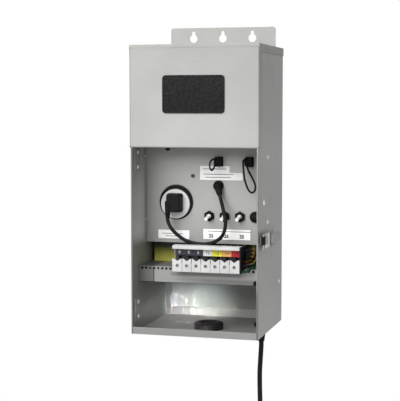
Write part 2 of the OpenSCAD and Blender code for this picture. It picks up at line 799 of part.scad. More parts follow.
// Right-angle plug of the timer, with its lead leaving downwards at the front left
module timer_plug() {
  neck_low = receptacle_z - plug_h / 2 + plug_r;
  color("black") {
    hull() {
      upright(plug_y - plug_d / 2, plug_d / 2) translate([receptacle_x, receptacle_z])
        round_rect(plug_base_w, plug_h, plug_r, $fn = 24);
      upright(plug_y - plug_d, plug_d / 4) translate([receptacle_x + plug_shift, receptacle_z])
        round_rect(plug_front_w, plug_h - plug_r, plug_r, $fn = 24);
    }
    translate([plug_exit[0], plug_exit[1], neck_low]) cylinder(r = plug_exit_r, h = plug_h / 2);
    translate(plug_exit) cylinder(r1 = plug_exit_tip_r, r2 = plug_exit_r, h = neck_low - plug_exit[2]);
  }
}
module timer_plug_blades() {
  color("goldenrod") upright(plug_y, blade_l) translate([receptacle_x, receptacle_z]) blade_outline(0);
}
module timer_lead() {
  color("black") wire(lead_route, lead_d, 8, 2, [0, 1, 0]);
}

// Rubber boot that turns the lead down out of the panel
module lead_boot() {
  out = lead_route[0] - boot_centre;
  spout = norm(out);
  color("black") {
    peg(boot_x, panel_y - boot_flange_t, boot_z, boot_flange_r, boot_flange_t);
    peg(boot_x, panel_y - boot_reach, boot_z, boot_r, boot_reach + sheet_t);
    peg(boot_x, panel_back, boot_z, boot_flange_r, boot_flange_t);
    translate(boot_centre) sphere(boot_r + boot_swell);
    translate(boot_centre) rotate([0, acos(out[2] / spout), atan2(out[1], out[0])])
      cylinder(r1 = boot_r - boot_swell, r2 = boot_spout_r, h = spout);
  }
}

// Photocell sockets and the jumper plugs that bridge them
module pin_holes(extra) {
  for (i = [-1, 1]) translate([i * pin_pitch / 2, 0]) circle(pin_r + extra);
}
module photocell_socket(x) {
  difference() {
    union() {
      upright(panel_y - socket_t, socket_t) translate([x, socket_z]) round_rect(socket_w, socket_h, socket_t);
      upright(panel_y, socket_body_d) translate([x, socket_z]) square([socket_body_w, socket_body_h], center = true);
    }
    upright(panel_y - socket_t - over, pin_l + 2 * over) translate([x, socket_z]) pin_holes(slot_gap);
  }
}
module photocell_sockets() {
  color("dimgray") for (x = [socket_left_x, socket_right_x]) photocell_socket(x);
}
module jumper_plug(x) {
  jumper_y = panel_y - socket_t - plug_gap;
  color("black") {
    upright(jumper_y - jumper_d, jumper_d) translate([x, socket_z]) round_rect(jumper_w, jumper_h, jumper_r);
    for (i = [-1, 1]) upright(jumper_y - jumper_d, jumper_d - jumper_rib_d)
      translate([x + i * jumper_w / 4, socket_z]) square([jumper_rib_w, jumper_h + 2 * jumper_rib_d], center = true);
  }
  color("goldenrod") upright(jumper_y, pin_l) translate([x, socket_z]) pin_holes(0);
}
module jumper_plug_left() {
  jumper_plug(socket_left_x);
}
module jumper_plug_right() {
  jumper_plug(socket_right_x);
}
module jumper_loop_left() {
  color("black") wire(loop_left_route, wire_left_d, 8, 3, [0, 0, 1]);
}
module jumper_loop_right() {
  color("black") wire(loop_right_route, wire_right_d, 8, 2, [0, 0, 1]);
}

// Breaker bodies behind the panel, each with a bushing through it, then nuts and bat levers
module lever_pin(r, l) {
  rotate([0, lever_turn + 90, 0]) cylinder(r = r, h = l, center = true);
}
module breaker(x, bore_r) {
  difference() {
    union() {
      upright(panel_back, breaker_body_d) translate([x, breaker_z])
        square([breaker_w, breaker_body_h], center = true);
      peg(x, panel_y - bushing_reach, breaker_z, bushing_r, bushing_reach + sheet_t);
    }
    peg(x, panel_y - bushing_reach - over, breaker_z, bore_r, bushing_reach + over + sheet_t);
  }
}
module breaker_bodies() {
  color("black") for (x = breaker_xs) difference() {
    breaker(x, bushing_bore_r);
    translate([x, lever_pivot_y, breaker_z]) lever_pin(lever_pin_r + pin_gap, pin_seat_l);
  }
}
module panel_nut(x) {
  upright(panel_y - nut_t, nut_t) translate([x, breaker_z]) difference() {
    rotate(90) hexagon(nut_flats);
    circle(bushing_r);
  }
}
module breaker_nuts() {
  color("dimgray") {
    for (x = breaker_xs) panel_nut(x);
    upright(panel_y - nut_t, nut_t) translate([reset_x, breaker_z]) ring_outline(reset_ring_r, bushing_r);
  }
}
module breaker_lever(i) {
  color("white") translate([breaker_xs[i], lever_pivot_y, breaker_z]) {
    sphere(lever_ball_r);
    lever_pin(lever_pin_r, lever_pin_l);
    rotate([0, lever_turn, 0]) rotate([90 + lever_tilt, 0, 0]) cylinder(r1 = lever_root_r, r2 = lever_tip_r, h = lever_l);
  }
}
module breaker_lever_1() {
  breaker_lever(0);
}
module breaker_lever_2() {
  breaker_lever(1);
}
module breaker_lever_3() {
  breaker_lever(2);
}
module reset_body() {
  color("black") breaker(reset_x, reset_bore_r);
}
module reset_button() {
  seat = panel_y - bushing_reach + nut_t;
  head_l = nut_t + reset_proud;
  color("black") {
    translate([reset_x, seat - head_l, breaker_z]) rotate([90, 0, 0]) dome(reset_button_r, reset_proud / 3);
    peg(reset_x, seat - head_l, breaker_z, reset_button_r, head_l);
  }
}

// Black hole plug and the earthing screw
module hole_plug() {
  color("black") {
    translate([hole_plug_x, panel_y, hole_plug_z]) rotate([90, 0, 0]) dome(hole_plug_r, hole_plug_h);
    peg(hole_plug_x, panel_y, hole_plug_z, hole_plug_snap_r, hole_plug_snap_d);
  }
}
module slotted_screw(x, y, z, head_r, head_h, shank_r, length) {
  difference() {
    union() {
      peg(x, y - head_h, z, head_r, head_h);
      peg(x, y, z, shank_r, length);
    }
    translate([x - head_r - over, y - head_h - over, z - screw_slot_w / 2])
      cube([2 * head_r + 2 * over, screw_slot_d + over, screw_slot_w]);
  }
}
module ground_screw() {
  color("dimgray") slotted_screw(screw_x, panel_y, screw_z, screw_head_r, screw_head_h, screw_shank_r, screw_l);
}

// Wiring tray: a shelf back to the rear panel and a front lip with a comb of slots
module wiring_tray() {
  edge = inner_w;
  shelf_d = back_y - sheet_t - tray_y;
  comb_n = floor((edge - comb_margin) / comb_pitch);
  color("silver") difference() {
    union() {
      translate([-edge, tray_y, tray_top - sheet_t]) cube([2 * edge, shelf_d, sheet_t]);
      translate([-edge, tray_y, lip_low]) cube([2 * edge, sheet_t, tray_lip_h]);
    }
    for (i = [-comb_n:comb_n]) translate([i * comb_pitch - comb_w / 2, tray_y - over, tray_top - comb_drop - comb_h])
      cube([comb_w, sheet_t + 2 * over, comb_h]);
    translate([slit_x - slit_w / 2, tray_y - over, lip_low - over])
      cube([slit_w, sheet_t + 2 * over, tray_lip_h - sheet_t + over]);
  }
}
module tray_bumper() {
  color("black") translate([half_w - bumper_inset, tray_y, lip_low + bumper_r]) rotate([90, 0, 0])
    cylinder(r = bumper_r, h = bumper_h);
}

// Terminal block, seated over the tray's front fold
function pole_x(i) = block_left + block_end_w + (i + 0.5) * pole_pitch;
step_z = tray_top - block_heel + block_foot_h;
screw_row_z = tray_top - block_heel + screw_lift;
window_y = block_y + block_window_d;
pocket_y = window_y + sleeve_in;
tag_low = block_top - block_rim_h - block_tag_h;
// Outline in Y and Z: foot, trough behind its notched edge, window for the tags, rim, crest and shoulder
module block_outline() {
  low = tray_top - block_heel;
  trough_y = block_y + trough_wall;
  trough_z = step_z - trough_drop;
  under_rim = block_top - block_rim_h;
  crest_y = block_y + block_crest_d;
  shoulder_z = block_top - block_shoulder_h;
  polygon([[block_y, low], [block_y, step_z], [trough_y, step_z], [trough_y, trough_z], [pocket_y, trough_z],
    [pocket_y, tag_low], [window_y, tag_low], [window_y, under_rim], [block_y, under_rim],
    [block_y, block_top - block_bevel], [block_y + block_bevel, block_top], [crest_y, block_top],
    [crest_y, shoulder_z], [block_y + block_d, shoulder_z], [block_y + block_d, tray_top], [tray_y, tray_top],
    [tray_y, low]]);
}
module terminal_block() {
  color("white") difference() {
    crosswise(block_left, block_w) block_outline();
    for (i = [0:poles - 1]) {
      peg(pole_x(i), pocket_y - over, step_z, entry_r, entry_d - sleeve_in + over);
      peg(pole_x(i), block_y - over, screw_row_z, screw_bore_r, screw_bore_d + over);
      upright(block_y - over, trough_wall + 2 * over) translate([pole_x(i), step_z])
        polygon([[-notch_half_w, 0], [0, -notch_drop], [notch_half_w, 0], [0, notch_drop]]);
    }
    for (i = [1:poles - 1]) translate([block_left + block_end_w + i * pole_pitch - groove_w / 2,
      block_y - over, tray_top - block_heel - over]) cube([groove_w, groove_d + over, block_foot_h + 2 * over]);
  }
}
module terminal_screws() {
  head_h = screw_bore_d - screw_seat;
  color("silver") for (i = [0:poles - 1])
    slotted_screw(pole_x(i), block_y + screw_bore_d, screw_row_z, screw_bore_r, head_h, screw_bore_r, 0);
}
module terminal_sleeves() {
  color("goldenrod") for (i = [0:poles - 1])
    upright(pocket_y, entry_d - sleeve_in) translate([pole_x(i), step_z]) ring_outline(entry_r, sleeve_r);
}
// Black end plate, which closes the block where the leads enter
module block_end_plate() {
  low = tray_top - block_heel;
  color("black") crosswise(block_right, end_plate_t)
    polygon([[block_y, low], [block_y, block_top - block_bevel], [block_y + block_bevel, block_top],
      [block_y + block_d, block_top], [block_y + block_d, tray_top], [tray_y, tray_top], [tray_y, low]]);
}
// One tap tag stuck on the back of the block's window
module tap_tag(i) {
  tag_gap = tag_t / 2;
  translate([pole_x(i) - pole_pitch / 2 + tag_gap / 2, window_y - tag_t, tag_low])
    cube([pole_pitch - tag_gap, tag_t, block_tag_h]);
}
module tap_tags_black() {
  color("#333333") for (i = [0:min(2, poles - 1)]) tap_tag(i);
}
module tap_tag_white() {
  color("white") tap_tag(max(poles - 4, 0));
}
module tap_tag_yellow() {
  color("yellow") tap_tag(max(poles - 3, 0));
}
module tap_tag_orange() {
  color("orange") tap_tag(max(poles - 2, 0));
}
module tap_tag_red() {
  color("red") tap_tag(poles - 1);
}

// Leads from the toroid to the back of the block, and three from the breakers to its right end
function tap_route(x) =
  let (y0 = block_y + block_d, y1 = toroid_front, near = wire_d * 2,
    z0 = block_top - lead_row_drop, z1 = z0 + lead_rise, x1 = x * lead_gather_share)
  [[x, y0, z0], [x, y0 + near, z0], [x * lead_bow_share, panel_y, (z0 + insul_lead_z) / 2],
    [x * insul_lead_share, insul_y + insul_t / 2, insul_lead_z], [x1, y1 - near, z1], [x1, y1, z1]];
module tap_lead(i) {
  wire(tap_route(pole_x(i)), wire_d, 8, 2, [0, 0, 1]);
}
module black_leads() {
  color("black") {
    for (i = [0:min(2, poles - 1)]) tap_lead(i);
    wire(black_route, wire_d, 8, 2, [1, 0, 0]);
    for (route = feed_routes) wire(route, wire_d, 8, 2, [1, 0, 0]);
  }
}
module colour_leads() {
  color("firebrick") {
    for (i = [min(3, poles - 1):poles - 1]) tap_lead(i);
    wire(red_route, wire_d, 8, 2, [1, 0, 0]);
  }
}
module green_lead() {
  color("green") wire(green_route, wire_d, 8, 2, [1, 0, 0]);
}

// Yellow insulating sheet, standing on the tray, with a hole for each lead
module insulating_sheet() {
  color("yellow") upright(insul_y, insul_t) difference() {
    translate([-insul_half_w, tray_top]) square([2 * insul_half_w, insul_h]);
    for (i = [0:poles - 1]) translate([pole_x(i) * insul_lead_share, insul_lead_z]) circle(insul_hole_r);
  }
}

// Taped toroid, clamped to the back panel between rubber pads by a dished washer
module toroid_section(r_in, r_out, t, r) {
  translate([(r_in + r_out) / 2, t / 2]) round_rect(r_out - r_in, t, r);
}
module toroid() {
  color("gold") translate([toroid_x, toroid_back, toroid_z]) rotate([90, 0, 0]) rotate_extrude($fn = 96)
    toroid_section(toroid_hole_r, toroid_r, toroid_t, toroid_fillet);
}
module toroid_pads() {
  pad_r = toroid_r - toroid_fillet;
  color("#222222") {
    upright(toroid_back, pad_t) translate([toroid_x, toroid_z]) ring_outline(pad_r, stud_r);
    upright(toroid_front - pad_t, pad_t) translate([toroid_x, toroid_z]) ring_outline(washer_r, toroid_hole_r);
  }
}
module dished_washer() {
  seat = toroid_front - pad_t;
  translate([toroid_x, seat, toroid_z]) rotate([90, 0, 0]) rotate_extrude()
    polygon([[stud_r, -washer_dish], [toroid_hole_r - washer_t, -washer_dish], [toroid_hole_r, 0], [washer_r, 0],
      [washer_r, washer_t], [toroid_hole_r - washer_t, washer_t], [toroid_hole_r - 2 * washer_t, washer_t - washer_dish],
      [stud_r, washer_t - washer_dish]]);
}
module toroid_clamp() {
  nut_y = toroid_front - pad_t + washer_dish - washer_t;
  color("silver") {
    dished_washer();
    peg(toroid_x, nut_y - stud_nut_t - stud_end, toroid_z, stud_r, back_y - nut_y + stud_nut_t + stud_end);
    upright(nut_y - stud_nut_t, stud_nut_t) translate([toroid_x, toroid_z]) difference() {
      hexagon(stud_nut_flats);
      circle(stud_r);
    }
  }
}

// Snap-in cable bushing in the floor
module cable_bushing() {
  color("black") translate([bushing_x, bushing_y, 0]) difference() {
    rotate_extrude() difference() {
      union() {
        translate([grommet_hole_r, floor_top]) square([grommet_r - grommet_hole_r - grommet_edge, grommet_h]);
        translate([grommet_hole_r, floor_top]) square([grommet_r - grommet_hole_r, grommet_h - grommet_edge]);
        translate([grommet_r - grommet_edge, floor_top + grommet_h - grommet_edge]) circle(grommet_edge);
        translate([grommet_hole_r, box_low]) square([grommet_neck_r - grommet_hole_r, sheet_t]);
        translate([grommet_hole_r, box_low - grommet_snap_h]) square([grommet_snap_r - grommet_hole_r, grommet_snap_h]);
      }
    }
    for (turn = [20:120:260]) rotate(turn) translate([grommet_hole_r + grommet_edge, -grommet_notch_w / 2, floor_top + grommet_h - grommet_edge])
      cube([grommet_r, grommet_notch_w, grommet_edge + over]);
  }
}

// Cord gland: a hexagon nut inside the box and a tapered relief under the floor
module cord_gland() {
  color("black") translate([gland_x, gland_y, 0]) {
    difference() {
      union() {
        translate([0, 0, floor_top]) linear_extrude(gland_nut_h) hexagon(gland_nut_flats);
        translate([0, 0, box_low]) cylinder(r = gland_hole_r, h = sheet_t);
        translate([0, 0, box_low - gland_flange_h]) cylinder(r = gland_flange_r, h = gland_flange_h);
      }
      translate([0, 0, floor_top]) cylinder(r = gland_bore_r, h = gland_nut_h + over);
    }
    translate([0, 0, box_low - gland_relief_h])
      cylinder(r1 = gland_tip_r, r2 = gland_hole_r, h = gland_relief_h - gland_flange_h);
  }
}
module power_cord() {
  color("black") wire(cord_route, cord_d, 10, 3, [1, 0, 0]);
}

// Stored coil: it spirals in, climbs one layer in half a turn, and spirals out again
function coil_point(t) =
  let (inward = min(t, coil_turns_in), back = max(t - coil_turns_in - 0.5, 0), climb = min(max(t - coil_turns_in, 0), 0.5) * 2,
    r = coil_out_r - coil_pitch * (inward - back), lift = coil_pitch * (1 - cos(180 * climb)) / 2)
  [coil_x + r * cos(-360 * t), coil_y - lift, coil_z + r * sin(-360 * t)];
coil_last = coil_point(coil_total);
coil_line = [for (i = [0:round(coil_total * coil_rings)]) coil_point(i / coil_rings)];
coil_tail = [for (i = [1:3]) coil_last - [0, 0, 1] * i * tail_l / 3];
coil_path = concat(coil_line, coil_tail);
echo(coil_gap_to_itself = least_gap(coil_line, coil_rings / 2) - cord_d);
module cord_coil() {
  color("black") tube(coil_path, cord_d / 2, coil_sides, [1, 0, 0], [0, 0, -1], [0, 0, -1]);
}

// Tie round all turns at the bottom of the coil
module cord_tie() {
  mid_r = (coil_r + coil_out_r) / 2;
  band_h = coil_out_r - coil_r + cord_d + 2 * tie_gap;
  band_d = coil_pitch + cord_d + 2 * tie_gap;
  color("black") translate([coil_x - tie_w / 2, coil_y - coil_pitch / 2, coil_z - mid_r]) rotate([90, 0, 90])
    linear_extrude(tie_w) difference() {
      round_rect(band_d + 2 * tie_t, band_h + 2 * tie_t, 2 * tie_t);
      round_rect(band_d, band_h, tie_t);
    }
}

// Moulded plug on the end of the power cord, and its blades
cord_plug_at = coil_path[len(coil_path) - 1];
module cord_plug() {
  color("black") translate(cord_plug_at) rotate([180, 0, 0]) {
    cylinder(r1 = plug_neck_r, r2 = plug_neck_r + plug_neck_step, h = plug_neck_l);
    translate([0, 0, plug_neck_l])
      cylinder(r1 = plug_neck_r + 2 * plug_neck_step, r2 = plug_body_r, h = plug_body_l / 2);
    translate([0, 0, plug_neck_l + plug_body_l / 2]) cylinder(r = plug_body_r, h = plug_body_l / 2);
  }
}
module cord_plug_blades() {
  color("goldenrod") translate(cord_plug_at - [0, 0, plug_neck_l + plug_body_l + plug_pin_l])
    linear_extrude(plug_pin_l) translate([0, earth_drop / 3]) blade_outline(0);
}

// Draw latch on the right wall: riveted base, lever, wire bail and hook
latch_pivot_x = half_w + latch_pivot_out;
latch_crank_y = latch_pivot_y + latch_crank;
module latch_base() {
  base_l = latch_base_back + latch_base_fore;
  color("silver") translate([0, 0, latch_z]) {
    translate([half_w, latch_pivot_y - latch_base_fore, -latch_base_half_h])
      cube([latch_base_t, base_l, 2 * latch_base_half_h]);
    for (side = [0, 1]) mirror([0, 0, side]) translate([0, 0, latch_base_half_h - latch_ear_t])
      linear_extrude(latch_ear_t) {
        translate([latch_pivot_x, latch_pivot_y]) circle(latch_ear_r);
        translate([half_w, latch_pivot_y - latch_ear_r]) square([latch_pivot_out, 2 * latch_ear_r]);
      }
    translate([latch_pivot_x, latch_pivot_y, -latch_base_half_h]) cylinder(r = latch_pin_r, h = 2 * latch_base_half_h);
    for (y = latch_rivet_ys) translate([half_w - sheet_t - rivet_tail_h, y, 0]) rotate([0, 90, 0]) {
      cylinder(r = rivet_shank_r, h = rivet_tail_h + sheet_t + latch_base_t + rivet_head_h / 4);
      translate([0, 0, rivet_tail_h + sheet_t + latch_base_t]) dome(rivet_tail_r, rivet_head_h / 2);
      cylinder(r = rivet_tail_r, h = rivet_tail_h);
    }
  }
}
// Lever outline in X and Y: a strap with a rolled eye and a curled finger end
module latch_lever_outline() {
  strap_x = latch_pivot_x + latch_turn_r - latch_lever_t;
  strap_end = latch_pivot_y + latch_lever_l - latch_curl_l;
  translate([latch_pivot_x, latch_pivot_y]) circle(latch_turn_r + latch_pin_r / 2);
  translate([strap_x, latch_pivot_y]) square([latch_lever_t, latch_lever_l - latch_curl_l]);
  translate([latch_pivot_x, latch_crank_y]) circle(latch_turn_r);
  translate([strap_x, strap_end]) rotate(-35) square([latch_lever_t, latch_curl_l]);
}
module latch_lever() {
  color("silver") translate([0, 0, latch_z - latch_lever_half_h]) linear_extrude(2 * latch_lever_half_h) difference() {
    latch_lever_outline();
    translate([latch_pivot_x, latch_pivot_y]) circle(latch_pin_r + run_gap / 4);
    translate([latch_pivot_x, latch_crank_y]) circle(latch_arm_r + run_gap / 4);
  }
}
module latch_bail() {
  end_y = latch_crank_y - latch_bail_l;
  pin_reach = latch_arm_z - latch_lever_half_h / 2;
  color("lightgray") translate([latch_pivot_x, 0, latch_z]) {
    for (side = [0, 1]) mirror([0, 0, side]) {
      translate([0, latch_crank_y, latch_arm_z - pin_reach]) cylinder(r = latch_arm_r, h = pin_reach);
      translate([0, latch_crank_y, latch_arm_z]) sphere(latch_arm_r);
      translate([0, end_y, latch_arm_z]) rotate([-90, 0, 0]) cylinder(r = latch_arm_r, h = latch_bail_l);
      translate([0, end_y, latch_arm_z]) sphere(latch_arm_r);
    }
    translate([0, end_y, -latch_arm_z]) cylinder(r = latch_arm_r, h = 2 * latch_arm_z);
  }
}
// Dark hook folded round the bail's cross wire, its lip turned in towards the wall
module latch_hook() {
  end_y = latch_crank_y - latch_bail_l;
  eye_r = latch_arm_r + hook_t;
  color("#222222") translate([latch_pivot_x, end_y, latch_z - hook_half_h + hook_rise]) linear_extrude(2 * hook_half_h) difference() {
    union() {
      circle(eye_r);
      translate([latch_arm_r, 0]) square([hook_t, hook_l]);
      translate([-hook_lip, -eye_r]) square([hook_lip, hook_t]);
    }
    circle(latch_arm_r);
  }
}

back_panel();
left_side();
right_side();
floor_panel();
top_cap();
upper_cover();
badge_plate();
control_panel();
wall_rivets();
hinge_leaves();
catch_stud();
receptacle_ring();
receptacle_face();
timer_plug();
timer_plug_blades();
timer_lead();
lead_boot();
photocell_sockets();
jumper_plug_left();
jumper_loop_left();
jumper_plug_right();
jumper_loop_right();
breaker_bodies();
breaker_nuts();
breaker_lever_1();
breaker_lever_2();
breaker_lever_3();
reset_body();
reset_button();
hole_plug();
ground_screw();
wiring_tray();
tray_bumper();
terminal_block();
block_end_plate();
terminal_screws();
terminal_sleeves();
tap_tags_black();
tap_tag_white();
tap_tag_yellow();
tap_tag_orange();
tap_tag_red();
black_leads();
colour_leads();
green_lead();
insulating_sheet();
toroid();
toroid_pads();
toroid_clamp();
cable_bushing();
cord_gland();
power_cord();
cord_coil();
cord_tie();
cord_plug();
cord_plug_blades();
latch_base();
latch_lever();
latch_bail();
latch_hook();
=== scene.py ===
import math
import bmesh
import bpy
from mathutils import Matrix, Vector


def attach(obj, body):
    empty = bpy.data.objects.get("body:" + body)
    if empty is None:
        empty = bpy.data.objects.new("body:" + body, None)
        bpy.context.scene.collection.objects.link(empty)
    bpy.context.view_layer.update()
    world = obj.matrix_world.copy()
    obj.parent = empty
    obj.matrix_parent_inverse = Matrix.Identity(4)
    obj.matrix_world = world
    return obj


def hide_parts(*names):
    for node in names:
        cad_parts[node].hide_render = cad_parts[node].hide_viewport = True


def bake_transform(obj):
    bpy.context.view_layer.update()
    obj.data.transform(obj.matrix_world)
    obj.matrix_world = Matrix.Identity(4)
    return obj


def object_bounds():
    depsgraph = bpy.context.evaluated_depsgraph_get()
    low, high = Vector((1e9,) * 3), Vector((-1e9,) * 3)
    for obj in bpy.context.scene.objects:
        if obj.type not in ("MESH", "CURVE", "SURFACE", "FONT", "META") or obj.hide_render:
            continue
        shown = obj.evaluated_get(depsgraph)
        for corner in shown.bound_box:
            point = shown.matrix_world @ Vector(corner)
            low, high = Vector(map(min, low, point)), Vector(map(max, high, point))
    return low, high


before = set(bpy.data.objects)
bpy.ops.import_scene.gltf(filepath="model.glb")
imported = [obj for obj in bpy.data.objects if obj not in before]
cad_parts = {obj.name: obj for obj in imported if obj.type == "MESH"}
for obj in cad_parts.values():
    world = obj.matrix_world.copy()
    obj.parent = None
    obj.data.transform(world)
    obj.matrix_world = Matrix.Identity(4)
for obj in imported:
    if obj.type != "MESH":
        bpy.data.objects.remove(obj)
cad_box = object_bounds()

# The camera stands in front, a little to the right of the box and above its middle.
# Its place and lens were fitted to the folded edges of the box in the photograph.
camera_data = bpy.data.cameras.new("photo_camera")
camera_data.sensor_width = 36
camera_data.lens = 104.46
camera = bpy.data.objects.new("photo_camera", camera_data)
camera.location = (0.4357, -1.6896, -0.0984)
camera.rotation_euler = (math.radians(85.30), 0, math.radians(15.58))
bpy.context.scene.collection.objects.link(camera)
bpy.context.scene.camera = camera
bpy.context.scene.view_settings.view_transform = "Standard"

# Power cord: a black three-core lead in a PVC jacket, which leaves the floor through its gland.
# The stretch that the photograph shows hangs down; the rest is wound into two layers and tied.
noise_low = 0.3
noise_high = 0.7


def principled(name, colour, metallic, roughness, specular=0.5):
    material = bpy.data.materials.new(name)
    material.use_nodes = True
    shader = material.node_tree.nodes["Principled BSDF"]
    shader.inputs["Base Color"].default_value = (*colour, 1)
    shader.inputs["Metallic"].default_value = metallic
    shader.inputs["Roughness"].default_value = roughness
    shader.inputs["Specular IOR Level"].default_value = specular
    return material, material.node_tree, shader


def noise(tree, scale, stretch=(1, 1, 1), detail=3):
    place = tree.nodes.new("ShaderNodeTexCoord")
    mapping = tree.nodes.new("ShaderNodeMapping")
    mapping.inputs["Scale"].default_value = stretch
    texture = tree.nodes.new("ShaderNodeTexNoise")
    texture.inputs["Scale"].default_value = scale
    texture.inputs["Detail"].default_value = detail
    tree.links.new(place.outputs["Object"], mapping.inputs["Vector"])
    tree.links.new(mapping.outputs["Vector"], texture.inputs["Vector"])
    return texture.outputs["Fac"]


def rescale(tree, value, start, end, low=0, high=1):
    reach = tree.nodes.new("ShaderNodeMapRange")
    for socket, number in (("From Min", start), ("From Max", end), ("To Min", low), ("To Max", high)):
        reach.inputs[socket].default_value = number
    tree.links.new(value, reach.inputs["Value"])
    return reach.outputs["Result"]


def tint(tree, factor, dark, light):
    ramp = tree.nodes.new("ShaderNodeValToRGB")
    for stop, position, colour in zip(ramp.color_ramp.elements, (noise_low, noise_high), (dark, light)):
        stop.position = position
        stop.color = (*colour, 1)
    tree.links.new(factor, ramp.inputs["Fac"])
    return ramp.outputs["Color"]


def raise_by(tree, shader, factor, strength, distance):
    bump = tree.nodes.new("ShaderNodeBump")
    bump.inputs["Strength"].default_value = strength
    bump.inputs["Distance"].default_value = distance
    tree.links.new(factor, bump.inputs["Height"])
    tree.links.new(bump.outputs["Normal"], shader.inputs["Normal"])


def surface(name, dark, light, metallic, roughness, below, above, clouds, fine, specular=0.5):
    material, tree, shader = principled(name, light, metallic, roughness, specular)
    sheen = rescale(tree, noise(tree, *fine), noise_low, noise_high, roughness - below, roughness + above)
    tree.links.new(tint(tree, noise(tree, *clouds), dark, light), shader.inputs["Base Color"])
    tree.links.new(sheen, shader.inputs["Roughness"])
    return material, tree, shader


def pvc(name, dark, light):
    material, tree, shader = surface(name, dark, light, metallic=0, roughness=0.36, below=0.07, above=0.1,
                                     clouds=(160,), fine=(420,), specular=0.09)
    raise_by(tree, shader, noise(tree, 900), strength=0.18, distance=0.0002)
    return material


def smooth_route(points, steps):
    # One smooth curve through all the points, with this many steps from each point to the next.
    ends = [Vector(p) for p in (points[0], *points, points[-1])]
    route = []
    for a, b, c, d in zip(ends, ends[1:], ends[2:], ends[3:]):
        for step in range(steps):
            t = step / steps
            route.append((2 * b + (c - a) * t + (2 * a - 5 * b + 4 * c - d) * t ** 2
                          + (3 * b - a - 3 * c + d) * t ** 3) / 2)
    return route + [ends[-1]]


def in_metres(points):
    return [Vector(p) / 1000 for p in points]


def tube(name, route, diameter, material, resolution=5):
    curve = bpy.data.curves.new(name, "CURVE")
    curve.dimensions = "3D"
    curve.bevel_depth = diameter / 2
    curve.bevel_resolution = resolution
    curve.use_fill_caps = True
    line = curve.splines.new("POLY")
    line.points.add(len(route) - 1)
    for point, place in zip(line.points, route):
        point.co = (*place, 1)
    line.use_smooth = True
    curve.materials.append(material)
    piece = bpy.data.objects.new(name, curve)
    bpy.context.scene.collection.objects.link(piece)
    return piece


cord_d = 0.007
cord_route = in_metres([
    (75, -66, -439), (75, -66, -446), (74, -66, -464), (73, -66, -483), (73, -66, -502), (73.5, -66, -521),
    (74, -66, -541), (74, -66, -586)])
coil_r = 0.030
coil_pitch = 0.0086
coil_turns_in = 2
coil_out_r = coil_r + coil_turns_in * coil_pitch
coil_x = cord_route[-1].x - coil_out_r
coil_steps = 48
tail_l = 0.042
tail_steps = 8


def coil_point(turn):
    # The cord winds inwards in one layer, steps over in half a turn, and winds outwards in the next.
    inward = min(turn, coil_turns_in)
    back = max(turn - coil_turns_in - 0.5, 0)
    climb = min(max(turn - coil_turns_in, 0), 0.5) * 2
    r = coil_out_r - coil_pitch * (inward - back)
    lift = coil_pitch * (1 - math.cos(math.pi * climb)) / 2
    angle = -2 * math.pi * turn
    start = cord_route[-1]
    return Vector((coil_x + r * math.cos(angle), start.y - lift, start.z + r * math.sin(angle)))


coil_route = [coil_point(i / coil_steps) for i in range(2 * coil_turns_in * coil_steps + 1)]
tail_end = coil_route[-1] - Vector((0, 0, tail_l))
tail_route = [coil_route[-1].lerp(tail_end, i / tail_steps) for i in range(1, tail_steps + 1)]
whole_cord = smooth_route(cord_route, 6)[:-1] + coil_route + tail_route
black_jacket = pvc("black_jacket", (0.006, 0.006, 0.007), (0.016, 0.016, 0.017))
power_cord = tube("power_cord_jacket", whole_cord, cord_d, black_jacket)
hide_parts("power_cord", "cord_coil")
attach(power_cord, "enclosure")


# Gland, tie and plug of the power cord: black mouldings, the tie a strap round all the turns.
# The plug's two blades are stamped from brass and stand in its moulded body.
def moulded(name, dark, light, roughness=0.5, grain=0.16, specular=0.3):
    material, tree, shader = surface(name, dark, light, metallic=0, roughness=roughness, below=0.08,
                                     above=0.1, clouds=(55,), fine=(260,), specular=specular)
    raise_by(tree, shader, noise(tree, 1400, detail=2), strength=grain, distance=0.0002)
    return material


def maths(tree, operation, *values):
    node = tree.nodes.new("ShaderNodeMath")
    node.operation = operation
    for socket, value in zip(node.inputs, values):
        if isinstance(value, bpy.types.NodeSocket):
            tree.links.new(value, socket)
        else:
            socket.default_value = value
    return node.outputs[0]


def corner_shading(angle):
    group = bpy.data.node_groups.new("shading_by_corner", "GeometryNodeTree")
    group.interface.new_socket(name="Geometry", in_out="INPUT", socket_type="NodeSocketGeometry")
    group.interface.new_socket(name="Geometry", in_out="OUTPUT", socket_type="NodeSocketGeometry")
    entry = group.nodes.new("NodeGroupInput")
    leave = group.nodes.new("NodeGroupOutput")
    faces = group.nodes.new("GeometryNodeSetShadeSmooth")
    faces.domain = "FACE"
    edges = group.nodes.new("GeometryNodeSetShadeSmooth")
    edges.domain = "EDGE"
    edges.inputs["Shade Smooth"].default_value = False
    corner = group.nodes.new("GeometryNodeInputMeshEdgeAngle")
    sharp = maths(group, "GREATER_THAN", corner.outputs["Unsigned Angle"], math.radians(angle))
    group.links.new(entry.outputs["Geometry"], faces.inputs["Geometry"])
    group.links.new(faces.outputs["Geometry"], edges.inputs["Geometry"])
    group.links.new(sharp, edges.inputs["Selection"])
    group.links.new(edges.outputs["Geometry"], leave.inputs["Geometry"])
    return group


# An edge is rounded to one of these widths, and a plain edge stays as the solid has it.
soft_edge = 0.0004
small_edge = 0.0003
fine_edge = 0.0002
plain_edge = 0
soft_corners = corner_shading(32)
weld_gap = 0.000004
flat_angle = math.radians(0.6)
bevel_angle = math.radians(35)
face_weight = 80


